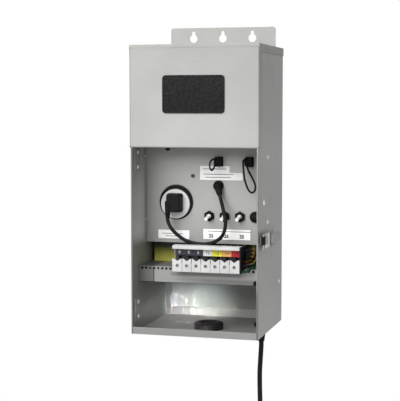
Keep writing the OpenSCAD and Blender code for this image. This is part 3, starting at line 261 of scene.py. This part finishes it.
def finish_edges(piece, width):
    weld = piece.modifiers.new("weld", "WELD")
    weld.merge_threshold = weld_gap
    flat = piece.modifiers.new("flat_faces", "DECIMATE")
    flat.decimate_type = "DISSOLVE"
    flat.angle_limit = flat_angle
    if width:
        bevel = piece.modifiers.new("bevel", "BEVEL")
        bevel.width = width
        bevel.segments = 2
        bevel.limit_method = "ANGLE"
        bevel.angle_limit = bevel_angle
        bevel.use_clamp_overlap = False
    shade = piece.modifiers.new("shading", "NODES")
    shade.node_group = soft_corners
    even = piece.modifiers.new("even_normals", "WEIGHTED_NORMAL")
    even.keep_sharp = True
    even.weight = face_weight


def dress(node, material, edge=None):
    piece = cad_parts[node]
    for slot in piece.material_slots:
        slot.material = material
    if edge is not None:
        finish_edges(piece, edge)


black_moulding = moulded("black_moulding", (0.005, 0.005, 0.005), (0.011, 0.011, 0.012), specular=0.08)
rolled_brass = surface("rolled_brass", (0.62, 0.45, 0.21), (0.80, 0.63, 0.35), metallic=1, roughness=0.28,
                       below=0.08, above=0.12, clouds=(90,), fine=(700, (1, 1, 0.05)))[0]
for part in ("cord_gland", "cord_plug", "cord_tie"):
    dress(part, black_moulding, soft_edge)
dress("cord_plug_blades", rolled_brass, small_edge)

# Timer's lead: a round black two-core lead that drops out of the boot, bends under the panel's
# labels and climbs into the timer's plug from below.
lead_d = 0.0052
lead_route = smooth_route(in_metres([
    (22, -102, -225.5), (24, -104, -231.5), (27.5, -108.5, -240), (31, -113, -250), (34, -116, -261),
    (33, -116, -273), (27, -114, -284.5), (14, -112, -292.5), (-5, -111, -295), (-24, -112, -291),
    (-38, -113, -282), (-47.5, -113, -272), (-52, -112, -262), (-52, -112, -259)]), 6)


def as_mesh(piece):
    bpy.context.view_layer.update()
    shape = bpy.data.meshes.new_from_object(piece.evaluated_get(bpy.context.evaluated_depsgraph_get()))
    solid = bpy.data.objects.new(piece.name + "_solid", shape)
    bpy.context.scene.collection.objects.link(solid)
    bpy.data.objects.remove(piece)
    return solid


timer_lead = as_mesh(tube("timer_lead_jacket", lead_route, lead_d, black_jacket))
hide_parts("timer_lead")
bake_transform(timer_lead)
dress("lead_boot", black_moulding, plain_edge)
dress("timer_plug", black_moulding, soft_edge)
dress("timer_plug_blades", rolled_brass, plain_edge)

# Jumper plugs: two small black plugs that bridge the photocell sockets.
# Each carries a loop of thin wire, a short one on the left and a long hanging one on the right.
wire_left_d = 0.0025
wire_right_d = 0.0028
jumper_front = -103.8
left_loop = smooth_route(in_metres([
    (15.5, jumper_front, -174.5), (15.5, -107, -174.5), (14, -111.5, -174.5), (11.7, -114.5, -178),
    (10.9, -115.5, -183.5), (11.7, -114.5, -188.5), (13.5, -111.5, -190), (15.3, -108.5, -186.5),
    (16, -106.5, -182.7), (16, jumper_front, -182.7)]), 8)
right_loop = smooth_route(in_metres([
    (60, jumper_front, -174.5), (60, -107, -174.5), (58.5, -111, -176), (58.5, -113, -181),
    (59.5, -114, -190), (60.5, -114, -199.5), (62.5, -113, -208), (65, -111, -215.5), (68.5, -110, -220),
    (72.5, -109, -220), (74.8, -108, -215.5), (74.5, -107.5, -210), (71.5, -107.5, -202.5),
    (67, -108.5, -194), (64, -109.5, -187), (63, -107, -182.5), (63, jumper_front, -182.5)]), 6)
for side, route, thick in (("left", left_loop, wire_left_d), ("right", right_loop, wire_right_d)):
    loop = tube(f"jumper_wire_{side}", route, thick, black_jacket, resolution=4)
    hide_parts(f"jumper_loop_{side}")
    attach(loop, f"jumper_{side}")
    dress(f"jumper_plug_{side}", black_moulding, small_edge)
dress("photocell_sockets", black_moulding, small_edge)


# Studio: a white floor under the hanging box, white all round, and soft lamps: a large key at the
# left, a weak fill at the right, and a narrow low lamp that lifts the bottom of the back panel.
# A grey card at the right keeps the right wall darker than the front, as in the photograph.
def seen_directly(tree):
    path = tree.nodes.new("ShaderNodeLightPath")
    either = maths(tree, "MAXIMUM", path.outputs["Is Camera Ray"], path.outputs["Is Glossy Ray"])
    return maths(tree, "MAXIMUM", either, path.outputs["Is Transmission Ray"])


def show_white(tree, lit, white, out):
    both = tree.nodes.new("ShaderNodeMixShader")
    tree.links.new(seen_directly(tree), both.inputs["Fac"])
    tree.links.new(lit.outputs[0], both.inputs[1])
    tree.links.new(white.outputs[0], both.inputs[2])
    tree.links.new(both.outputs[0], out.inputs["Surface"])


def paper_white(name, grey):
    material = bpy.data.materials.new(name)
    material.use_nodes = True
    tree = material.node_tree
    tree.nodes.clear()
    plain = tree.nodes.new("ShaderNodeBsdfDiffuse")
    plain.inputs["Color"].default_value = (grey, grey, grey, 1)
    glow = tree.nodes.new("ShaderNodeEmission")
    glow.inputs["Strength"].default_value = 1
    show_white(tree, plain, glow, tree.nodes.new("ShaderNodeOutputMaterial"))
    return material


def white_world(name, horizon, full_light, low):
    # The light on the object rises from low, at the horizon, to its full strength further up.
    world = bpy.data.worlds.new(name)
    world.use_nodes = True
    tree = world.node_tree
    tree.nodes.clear()
    way = tree.nodes.new("ShaderNodeTexCoord")
    parts = tree.nodes.new("ShaderNodeSeparateXYZ")
    tree.links.new(way.outputs["Generated"], parts.inputs[0])
    soft = tree.nodes.new("ShaderNodeBackground")
    tree.links.new(rescale(tree, parts.outputs["Z"], horizon, full_light, low), soft.inputs["Color"])
    plain = tree.nodes.new("ShaderNodeBackground")
    plain.inputs["Color"].default_value = (1, 1, 1, 1)
    show_white(tree, soft, plain, tree.nodes.new("ShaderNodeOutputWorld"))
    return world


def flat_panel(name, width, height, place, turn, material):
    form = bmesh.new()
    bmesh.ops.create_grid(form, x_segments=1, y_segments=1, size=0.5)
    bmesh.ops.scale(form, vec=(width, height, 1), verts=form.verts)
    bmesh.ops.transform(form, matrix=Matrix.Translation(place) @ turn, verts=form.verts)
    mesh = bpy.data.meshes.new(name)
    form.to_mesh(mesh)
    form.free()
    mesh.materials.append(material)
    panel = bpy.data.objects.new(name, mesh)
    bpy.context.scene.collection.objects.link(panel)
    return panel


def lamp(name, width, height, power, place, aim, spread_angle=180):
    data = bpy.data.lights.new(name, "AREA")
    data.shape = "RECTANGLE"
    data.size = width
    data.size_y = height
    data.energy = power
    data.spread = math.radians(spread_angle)
    light = bpy.data.objects.new(name, data)
    light.location = place
    light.rotation_euler = (Vector(aim) - Vector(place)).to_track_quat("-Z", "Y").to_euler()
    bpy.context.scene.collection.objects.link(light)


floor_side = 9
floor_gap = 0.004
floor_z = cad_box[0][2] - floor_gap
box_middle = (0, 0, -0.2)
panel_foot = (-0.05, 0, -0.410)
white_floor = paper_white("white_floor", 0.35)
flat_panel("floor", floor_side, floor_side, (0, 0, floor_z), Matrix.Identity(4), white_floor)
bpy.context.scene.world = white_world("studio", horizon=0, full_light=0.8, low=0.05)
upright = Matrix.Rotation(math.radians(-10), 4, "Z") @ Matrix.Rotation(math.radians(90), 4, "X")
card_grey = principled("card_grey", (0.62, 0.62, 0.62), metallic=0, roughness=0.9)[0]
card = flat_panel("grey_card", width=2.0, height=1.7, place=(1.0, 0.75, 0.35), turn=upright,
                  material=card_grey)
card.visible_camera = False
lamp("key_lamp", width=1.7, height=1.7, power=70, place=(-0.8, -2.0, 1.0), aim=box_middle)
lamp("fill_lamp", width=1.0, height=1.0, power=7, place=(1.2, -1.7, 0.1), aim=box_middle)
lamp("low_snoot", width=0.10, height=0.02, power=0.075, place=(0.30, -1.72, -0.08), aim=panel_foot,
     spread_angle=2)


# Folded box: stainless sheet 1.2 mm thick, brushed along its length, with rounded folds.
# Back, walls, floor, cap, cover, control panel and wiring tray are cut and folded from it.
# Each sheet has darker and paler zones of painted shade and painted light in its colour.
def stainless(name, along, light=(0.33, 0.33, 0.318), dark=(0.29, 0.29, 0.28)):
    brushed = (1500, tuple(0.02 if axis == along else 1 for axis in "XYZ"), 4)
    material, tree, shader = surface(name, dark, light, metallic=0.5, roughness=0.5, below=0.05, above=0.08,
                                     clouds=(9, (1, 1, 1), 4), fine=brushed)
    raise_by(tree, shader, noise(tree, *brushed), strength=0.10, distance=0.0001)
    return material


# These sockets of a Mix node carry its colours.
mix_base = 6
mix_target = 7
mix_result = 2


def shade_zone(material, strength, *zones, target=(0, 0, 0)):
    # Paints shade into a material's colour; with a pale target it paints light.
    # A zone is an axis and two places on it: none of the target is mixed in at the first place, and
    # all of it at the second. Where several zones are given, it shows where they overlap.
    tree = material.node_tree
    base = tree.nodes["Principled BSDF"].inputs["Base Color"]
    place = tree.nodes.new("ShaderNodeTexCoord")
    parts = tree.nodes.new("ShaderNodeSeparateXYZ")
    tree.links.new(place.outputs["Object"], parts.inputs[0])
    levels = [rescale(tree, parts.outputs[axis], start, end) for axis, start, end in zones]
    amount = levels[0]
    for factor in (*levels[1:], strength):
        amount = maths(tree, "MULTIPLY", amount, factor)
    shade = tree.nodes.new("ShaderNodeMix")
    shade.data_type = "RGBA"
    shade.inputs[mix_target].default_value = (*target, 1)
    tree.links.new(amount, shade.inputs["Factor"])
    tree.links.new(base.links[0].from_socket, shade.inputs[mix_base])
    tree.links.new(shade.outputs[mix_result], base)


# Pale targets for zones of painted light.
pale = (0.8, 0.8, 0.79)
paler = (0.9, 0.9, 0.89)
hem = ("Y", -0.1578, -0.1588)
left_wall_inside = ("X", -0.0904, -0.0900)
beside_panel = ("Z", -0.298, -0.280)
back_inside = ("Y", -0.0005, -0.0009)
lower_bay = ("Z", -0.34, -0.36)

left_grain = stainless("stainless_left_wall", "Z")
# Left wall: painted shade on its front hem below the cover, and painted light on its inner face beside the
# panel.
shade_zone(left_grain, 0.55, hem, ("Z", -0.1570, -0.1578))
shade_zone(left_grain, 0.22, left_wall_inside, ("Y", -0.145, -0.125), beside_panel, target=pale)
shade_zone(left_grain, 0.42, left_wall_inside, ("Y", -0.161, -0.150), beside_panel, ("Z", -0.19, -0.23),
           target=pale)
right_grain = stainless("stainless_right_wall", "Z")
# Right wall: a paler middle band of painted light, and painted shade on its front hem, deeper near the
# bottom.
shade_zone(right_grain, 0.07, ("Z", -0.10, -0.16), ("Z", -0.36, -0.28), target=paler)
shade_zone(right_grain, 0.33, hem, ("Z", -0.155, -0.165))
shade_zone(right_grain, 0.33, hem, ("Z", -0.345, -0.36))
back_grain = stainless("stainless_back", "Z")
# Back: painted shade at its top, and inside the lower bay painted light at the left and painted shade at
# the right.
shade_zone(back_grain, 0.18, ("Z", -0.030, -0.016))
shade_zone(back_grain, 0.20, back_inside, lower_bay, ("X", -0.02, -0.07), target=paler)
shade_zone(back_grain, 0.30, back_inside, lower_bay, ("X", -0.04, 0.03))
floor_grain = stainless("stainless_floor", "X")
# Floor: painted shade on its front lip.
shade_zone(floor_grain, 0.24, ("Y", -0.1575, -0.1590))
cover_grain = stainless("stainless_cover", "X")
# Cover and cap: painted shade, darker towards the top.
shade_zone(cover_grain, 0.2, ("Z", -0.140, -0.020))
panel_grain = stainless("stainless_level_grain", "X")

# The wiring tray is a darker copy of the stainless, as painted shade. Painted shade darkens its left end
# and lower edge at the right, and a painted shadow of the block lies on its front fold.
tray_grain = stainless("stainless_tray", "X", (0.27, 0.27, 0.265), (0.24, 0.24, 0.235))
shade_zone(tray_grain, 0.5, ("X", -0.0663, -0.0667))
shade_zone(tray_grain, 0.4, ("Z", -0.3320, -0.3350), ("Z", -0.3400, -0.3370), ("X", -0.044, -0.038),
           ("X", 0.065, 0.059))
shade_zone(tray_grain, 0.45, ("Z", -0.3395, -0.3430), ("X", -0.050, 0.020))
sheets = {
    "back_panel": back_grain, "left_side": left_grain, "right_side": right_grain,
    "floor_panel": floor_grain, "top_cap": cover_grain, "upper_cover": cover_grain,
    "control_panel": panel_grain, "wiring_tray": tray_grain}
for part, metal in sheets.items():
    dress(part, metal, small_edge)


# Rivets, hinge leaves, catch stud and earthing screw: the rivets and the stud are bright rolled
# steel set through the walls, and the leaves are stainless strips riveted inside the left wall.
# The small earthing screw is darkened steel.
def bright_steel(name, colour=(0.72, 0.72, 0.71), roughness=0.24):
    shade = tuple(0.8 * c for c in colour)
    return surface(name, shade, colour, metallic=1, roughness=roughness, below=0.08, above=0.12,
                   clouds=(120,), fine=(600,))[0]


rolled_steel = bright_steel("rolled_steel")
dark_steel_and_shade = bright_steel("blackened_steel_and_painted_shade", (0.05, 0.05, 0.055), 0.4)
leaf_steel = stainless("stainless_leaves", "Z")
# The rivet heads on the leaves are painted near white, a painted highlight.
rivet_heads = ("X", -0.0886, -0.0884)
shade_zone(leaf_steel, 1, rivet_heads, target=(0.95, 0.95, 0.93))
dress("wall_rivets", rolled_steel, fine_edge)
dress("catch_stud", rolled_steel, fine_edge)
dress("hinge_leaves", leaf_steel, fine_edge)
dress("ground_screw", dark_steel_and_shade, plain_edge)

# Draw latch: a pressed steel base riveted to the right wall, a lever, and a wire bail that ends in
# a hook with a black nose. A pressed plate with a raised field is spot-welded across the bail.
strap_size = (0.0012, 0.028, 0.0197)
strap_place = (0.097, -0.130, -0.285)
strap_rim = 0.0022
strap_step = 0.0008
strap_rise = 0.0006
strap_edge = 0.00025
hook_stem = ("Y", -0.1520, -0.1505)
hook_lip_end = ("X", 0.0946, 0.0938)


def from_form(name, form, material, body="enclosure"):
    bmesh.ops.recalc_face_normals(form, faces=form.faces)
    mesh = bpy.data.meshes.new(name)
    form.to_mesh(mesh)
    form.free()
    mesh.materials.append(material)
    piece = bpy.data.objects.new(name, mesh)
    bpy.context.scene.collection.objects.link(piece)
    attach(piece, body)


latch_steel = stainless("stainless_deep_grain", "Y")
for part in ("latch_base", "latch_lever", "latch_bail"):
    dress(part, latch_steel, fine_edge)
hook_black = bright_steel("hook_black", (0.015, 0.015, 0.016), 0.45)
shade_zone(hook_black, 1, hook_stem, target=(0.36, 0.36, 0.35))
shade_zone(hook_black, 1, hook_lip_end, target=(0.15, 0.15, 0.145))
dress("latch_hook", hook_black, small_edge)
strap_form = bmesh.new()
bmesh.ops.create_cube(strap_form, size=1)
bmesh.ops.scale(strap_form, vec=strap_size, verts=strap_form.verts)
strap_face = [face for face in strap_form.faces if face.normal.x > 0.9]
bmesh.ops.inset_region(strap_form, faces=strap_face, thickness=strap_rim)
bmesh.ops.inset_region(strap_form, faces=strap_face, thickness=strap_step, depth=strap_rise)
bmesh.ops.bevel(strap_form, geom=list(strap_form.edges), offset=strap_edge, segments=2, profile=0.5,
                affect="EDGES", material=-1)
bmesh.ops.translate(strap_form, vec=strap_place, verts=strap_form.verts)
strap_steel = bright_steel("strap_steel", (0.66, 0.66, 0.65), 0.42)
from_form("latch_strap", strap_form, strap_steel, body="latch_bail")

# Badge plate: a pressed plate in gloss black, glued to the cover. Its face is bare,
# and its edge is rounded over.
gloss_black = moulded("gloss_black", (0.003, 0.003, 0.003), (0.006, 0.006, 0.006), roughness=0.26,
                      grain=0.012, specular=0.15)
dress("badge_plate", gloss_black, fine_edge)

# Receptacle: a black moulded ring sunk in the panel's hole, with a light grey moulded face
# inside it that has the slots for the timer's plug.
ring_edge = 0.0005
grey_moulding = moulded("grey_moulding", (0.66, 0.66, 0.65), (0.74, 0.74, 0.72), roughness=0.45)
dress("receptacle_ring", black_moulding, ring_edge)
dress("receptacle_face", grey_moulding, soft_edge)

# Labels on the panel: white matt paper, cut square and stuck down flat, with plain figures
# under the breakers and thin rules where a label has lines.
label_t = 0.00016
label_front = -0.093 - label_t
rule_t = 0.00005
rule_half_h = 0.0004
figure_t = 0.00004
paper = moulded("label_paper", (0.88, 0.88, 0.87), (0.95, 0.95, 0.94), roughness=0.75, grain=0.08)
ink = moulded("label_ink", (0.02, 0.02, 0.02), (0.05, 0.05, 0.05), roughness=0.6, grain=0.02)


def plate(form, left, right, low, high, front, thick):
    made = bmesh.ops.create_cube(form, size=1)["verts"]
    centre = ((left + right) / 2, front + thick / 2, (low + high) / 2)
    bmesh.ops.scale(form, vec=(right - left, thick, high - low), verts=made)
    bmesh.ops.translate(form, vec=centre, verts=made)


def figures(name, rows, size, front, material, bold=0):
    form = bmesh.new()
    for words, x, z in rows:
        curve = bpy.data.curves.new(name, "FONT")
        curve.body = words
        curve.size = size
        curve.align_x = "CENTER"
        curve.align_y = "CENTER"
        curve.extrude = figure_t
        curve.resolution_u = 3
        curve.offset = bold
        sign = bpy.data.objects.new(name, curve)
        bpy.context.scene.collection.objects.link(sign)
        bpy.context.view_layer.update()
        flat = bpy.data.meshes.new_from_object(sign.evaluated_get(bpy.context.evaluated_depsgraph_get()))
        flat.transform(Matrix.Translation((x, front, z)) @ Matrix.Rotation(math.radians(90), 4, "X"))
        form.from_mesh(flat)
        bpy.data.meshes.remove(flat)
        bpy.data.objects.remove(sign)
    from_form(name, form, material)


label_form = bmesh.new()
for left, right, low, high in (
        (-0.0095, 0.034, -0.1945, -0.1850), (-0.0095, 0.053, -0.2050, -0.1945),
        (-0.072, -0.0255, -0.2905, -0.2780), (-0.0045, 0.0645, -0.2897, -0.2752)):
    plate(label_form, left, right, low, high, label_front, label_t)
from_form("panel_labels", label_form, paper)
rule_form = bmesh.new()
for left, right, z in (
        (-0.005, 0.029, -0.1892), (-0.004, 0.040, -0.1968), (-0.002, 0.036, -0.2012),
        (-0.066, -0.035, -0.2832), (-0.061, -0.040, -0.2868), (0.002, 0.066, -0.2783)):
    plate(rule_form, left, right, z - rule_half_h, z + rule_half_h, label_front - rule_t, rule_t)
from_form("label_rules", rule_form, ink)
breaker_xs = (0.0071, 0.0296, 0.0521)
rating_z = -0.2852
rating_size = 0.0068
rating_bold = 0.0003
rating_rows = [("25", x, rating_z) for x in breaker_xs]
figures("breaker_figures", rating_rows, rating_size, label_front - figure_t, ink, bold=rating_bold)

# Breakers: black moulded bodies behind the panel, with black nuts and white bat levers in front.
# The round reset button and the plug of a spare hole are black mouldings too.
lever_white = moulded("lever_white", (0.86, 0.86, 0.85), (0.94, 0.94, 0.93), roughness=0.3, grain=0.03)
for part in ("breaker_bodies", "breaker_nuts", "reset_body", "reset_button", "hole_plug"):
    dress(part, black_moulding, small_edge)
for number in (1, 2, 3):
    dress(f"breaker_lever_{number}", lever_white, plain_edge)

# Terminal block: white nylon, with clamp sleeves, slotted screws and printed film tags. It is
# screwed to the tray with a black end plate at its right, and a rubber bumper sits beside it.
# The band of wire entries lies in shade, so it is darker than the rest of the block.
block_nylon = moulded("block_nylon", (0.44, 0.44, 0.44), (0.54, 0.54, 0.53), roughness=0.4, grain=0.06)
entry_band = (("X", -0.0344, -0.0340), ("X", 0.0618, 0.0614), ("Y", -0.1476, -0.1470),
              ("Y", -0.1298, -0.1302), ("Z", -0.3184, -0.3180), ("Z", -0.3080, -0.3084))
shade_zone(block_nylon, 0.94, *entry_band)
dress("terminal_block", block_nylon, small_edge)
# The clamp sleeves are brass, and take the dark steel as painted shade in the deep wire entries.
dress("terminal_sleeves", dark_steel_and_shade, plain_edge)
# The terminal screws are dark steel, darkened as painted shade of their sunk holes.
dress("terminal_screws", bright_steel("screw_steel", (0.30, 0.30, 0.29), 0.5), plain_edge)
dress("block_end_plate", black_moulding, small_edge)
film_tags = {
    "tap_tags_black": ((0.035, 0.035, 0.05), (0.05, 0.05, 0.07)),
    "tap_tag_white": ((0.75, 0.75, 0.75), (0.85, 0.85, 0.85)),
    "tap_tag_yellow": ((0.75, 0.72, 0.03), (0.85, 0.82, 0.06)),
    "tap_tag_orange": ((0.82, 0.42, 0.10), (0.9, 0.5, 0.16)),
    "tap_tag_red": ((0.55, 0.02, 0.03), (0.66, 0.03, 0.05))}
for part, (dark, light) in film_tags.items():
    dress(part, moulded(part + "_film", dark, light, roughness=0.4, grain=0.03))
block_left = -34.4
end_wall = 0.6
poles = 7
common_poles = 3
pole_pitch = 13.6
pole_xs = [block_left + end_wall + (i + 0.5) * pole_pitch for i in range(poles)]
tag_front = -0.13684
tag_mid_z = -0.3042
tag_size = 0.0058
tap_volts = ("12", "13", "14", "15")
tap_rows = [(words, x / 1000, tag_mid_z) for words, x in zip(tap_volts, pole_xs[common_poles:])]
common_rows = [("0", x / 1000, tag_mid_z) for x in pole_xs[:common_poles]]
figures("tag_figures_dark", tap_rows, tag_size, tag_front, ink)
figures("tag_figures_light", common_rows, tag_size, tag_front, paper)
dress("tray_bumper", black_moulding, plain_edge)

# Leads at the block: PVC-covered stranded wires. Seven run back to the toroid through the
# insulating sheet, and black, red and green ones leave the breakers and enter the block's end.
wire_d = 0.0032
# The red and green jackets are their own colours darkened by painted shade.
red_jacket = pvc("red_jacket", (0.07, 0.005, 0.005), (0.11, 0.008, 0.008))
green_jacket = pvc("green_jacket", (0.005, 0.035, 0.015), (0.008, 0.06, 0.024))
end_face = (64.2, -148, -326)
reset_foot = (72, -93, -256.5)
feed_foot = (49.505, -93, -256.5)


def tap_route(x):
    start_y = -116
    end_y = -53.7
    low_z = -304.9
    return smooth_route(in_metres([
        (x, start_y, low_z), (x, start_y + 6.4, low_z), (0.88 * x, -93, (low_z - 303) / 2),
        (0.75 * x, -73.7, -303), (0.6 * x, end_y - 6.4, low_z + 6), (0.6 * x, end_y, low_z + 6)]), 8)


def block_route(foot, leave, enter):
    points = [Vector(foot) + Vector(p) for p in leave] + [Vector(end_face) + Vector(p) for p in enter]
    return smooth_route(in_metres(points), 6)


red_route = block_route(
    reset_foot, [(-1, 12.5, -18), (-1, 12.5, -33.5), (-1.2, 10, -46.5), (-1.8, 3, -57.5)],
    [(5.3, 47, 8), (4.8, 33, 8), (5, 23, 8.5), (4.4, 17.5, 9.5), (2.4, 16, 10), (0, 16, 10)])
black_route = block_route(
    reset_foot, [(2.6, 12.5, -18), (2.6, 12.5, -34.5), (2.6, 9.5, -49.5), (2.3, 1, -61)],
    [(9.6, 42, 4.5), (8.8, 26, 4), (8.4, 17, 4.5), (6.3, 11, 5.5), (3, 9.5, 6), (0, 9.5, 6)])
green_route = block_route(
    reset_foot, [(6.2, 12.5, -18), (6.2, 12.5, -33.5), (6.2, 9.5, -48.5), (6, 1, -59)],
    [(13.4, 42, 6), (13, 26, 4), (12.8, 14, 3.5), (10.3, 7, 0.5), (5.3, 5, -2), (0, 5, -2)])
feed_routes = [
    block_route(feed_foot, [(4.5, 12.5, -18), (4.5, 12.5, -29.5), (7, 11, -38.5), (12.5, 5.5, -45)],
                [(2.8, 51, 22.5), (7, 41, 23.5), (7.6, 33, 24.5), (6, 27, 25), (3, 24.3, 25), (0, 24, 25)]),
    block_route(feed_foot, [(0, 12.5, -18), (0, 12.5, -30.5), (3.5, 11.5, -41), (10.5, 6, -49.5)],
                [(1.8, 51.5, 17), (6.8, 41, 18), (7.6, 33, 19), (6, 27, 19.5), (3, 24.3, 19.5),
                 (0, 24, 19.5)]),
    block_route(feed_foot, [(-4.5, 12.5, -18), (-4.5, 12.5, -31.5), (-1, 11.5, -43), (7.5, 6, -54)],
                [(0.8, 51.5, 11.5), (6.6, 41, 12.5), (7.6, 33, 13.5), (6, 27, 14), (3, 24.3, 14),
                 (0, 24, 14)])]
lead_kinds = {
    "black_leads": (black_jacket, "wire_black"), "colour_leads": (red_jacket, "wire_red"),
    "green_lead": (green_jacket, "wire_green")}
lead_runs = [(f"tap_lead_{i + 1}", tap_route(x), "black_leads" if i < common_poles else "colour_leads")
             for i, x in enumerate(pole_xs)]
lead_runs += [("red_lead", red_route, "colour_leads"), ("black_lead", black_route, "black_leads"),
              ("green_lead_run", green_route, "green_lead")]
lead_runs += [(f"feed_lead_{i + 1}", route, "black_leads") for i, route in enumerate(feed_routes)]
for name, route, kind in lead_runs:
    jacket, slot_name = lead_kinds[kind]
    lead = tube(name, route, wire_d, jacket, resolution=4)
    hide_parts(kind)
    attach(lead, "enclosure")


# Insulating sheet and toroid: yellow polyester film that stands between tray and panel, and a core
# wound over with yellow tape. Rubber pads and a dished steel washer clamp the core to the back.
def wound_tape(name, middle_z, turns):
    material, tree, shader = principled(name, (0.5, 0.49, 0.06), metallic=0, roughness=0.34)
    place = tree.nodes.new("ShaderNodeTexCoord")
    turn = tree.nodes.new("ShaderNodeMapping")
    turn.inputs["Location"].default_value = (0, -middle_z, 0)
    turn.inputs["Rotation"].default_value = (math.radians(-90), 0, 0)
    angle = tree.nodes.new("ShaderNodeTexGradient")
    angle.gradient_type = "RADIAL"
    tree.links.new(place.outputs["Object"], turn.inputs["Vector"])
    tree.links.new(turn.outputs["Vector"], angle.inputs["Vector"])
    lap = maths(tree, "FRACT", maths(tree, "MULTIPLY", angle.outputs["Fac"], turns))
    tree.links.new(tint(tree, lap, (0.38, 0.37, 0.03), (0.52, 0.51, 0.06)), shader.inputs["Base Color"])
    raise_by(tree, shader, lap, strength=0.5, distance=0.0004)
    return material


yellow_film = moulded("yellow_film", (0.52, 0.50, 0.09), (0.66, 0.64, 0.12), roughness=0.3, grain=0.05)
# The film carries painted shadow, left of the block's end: darker towards the top under the panel, and a
# dark band behind the leads.
left_of_end = ("X", 0.064, 0.058)
shade_zone(yellow_film, 0.97, ("Z", -0.330, -0.304), left_of_end)
shade_zone(yellow_film, 0.85, ("X", 0.038, 0.046), left_of_end)
dress("insulating_sheet", yellow_film, plain_edge)
dress("toroid", wound_tape("wound_yellow_tape", middle_z=-0.249, turns=54), plain_edge)
dress("toroid_pads", black_moulding, plain_edge)
dress("toroid_clamp", rolled_steel, fine_edge)

# Cable bushing: a snap-in ring of black nylon in the floor's cable hole.
# It keeps the sheet's edge off the landscape cables.
dress("cable_bushing", black_moulding, soft_edge)
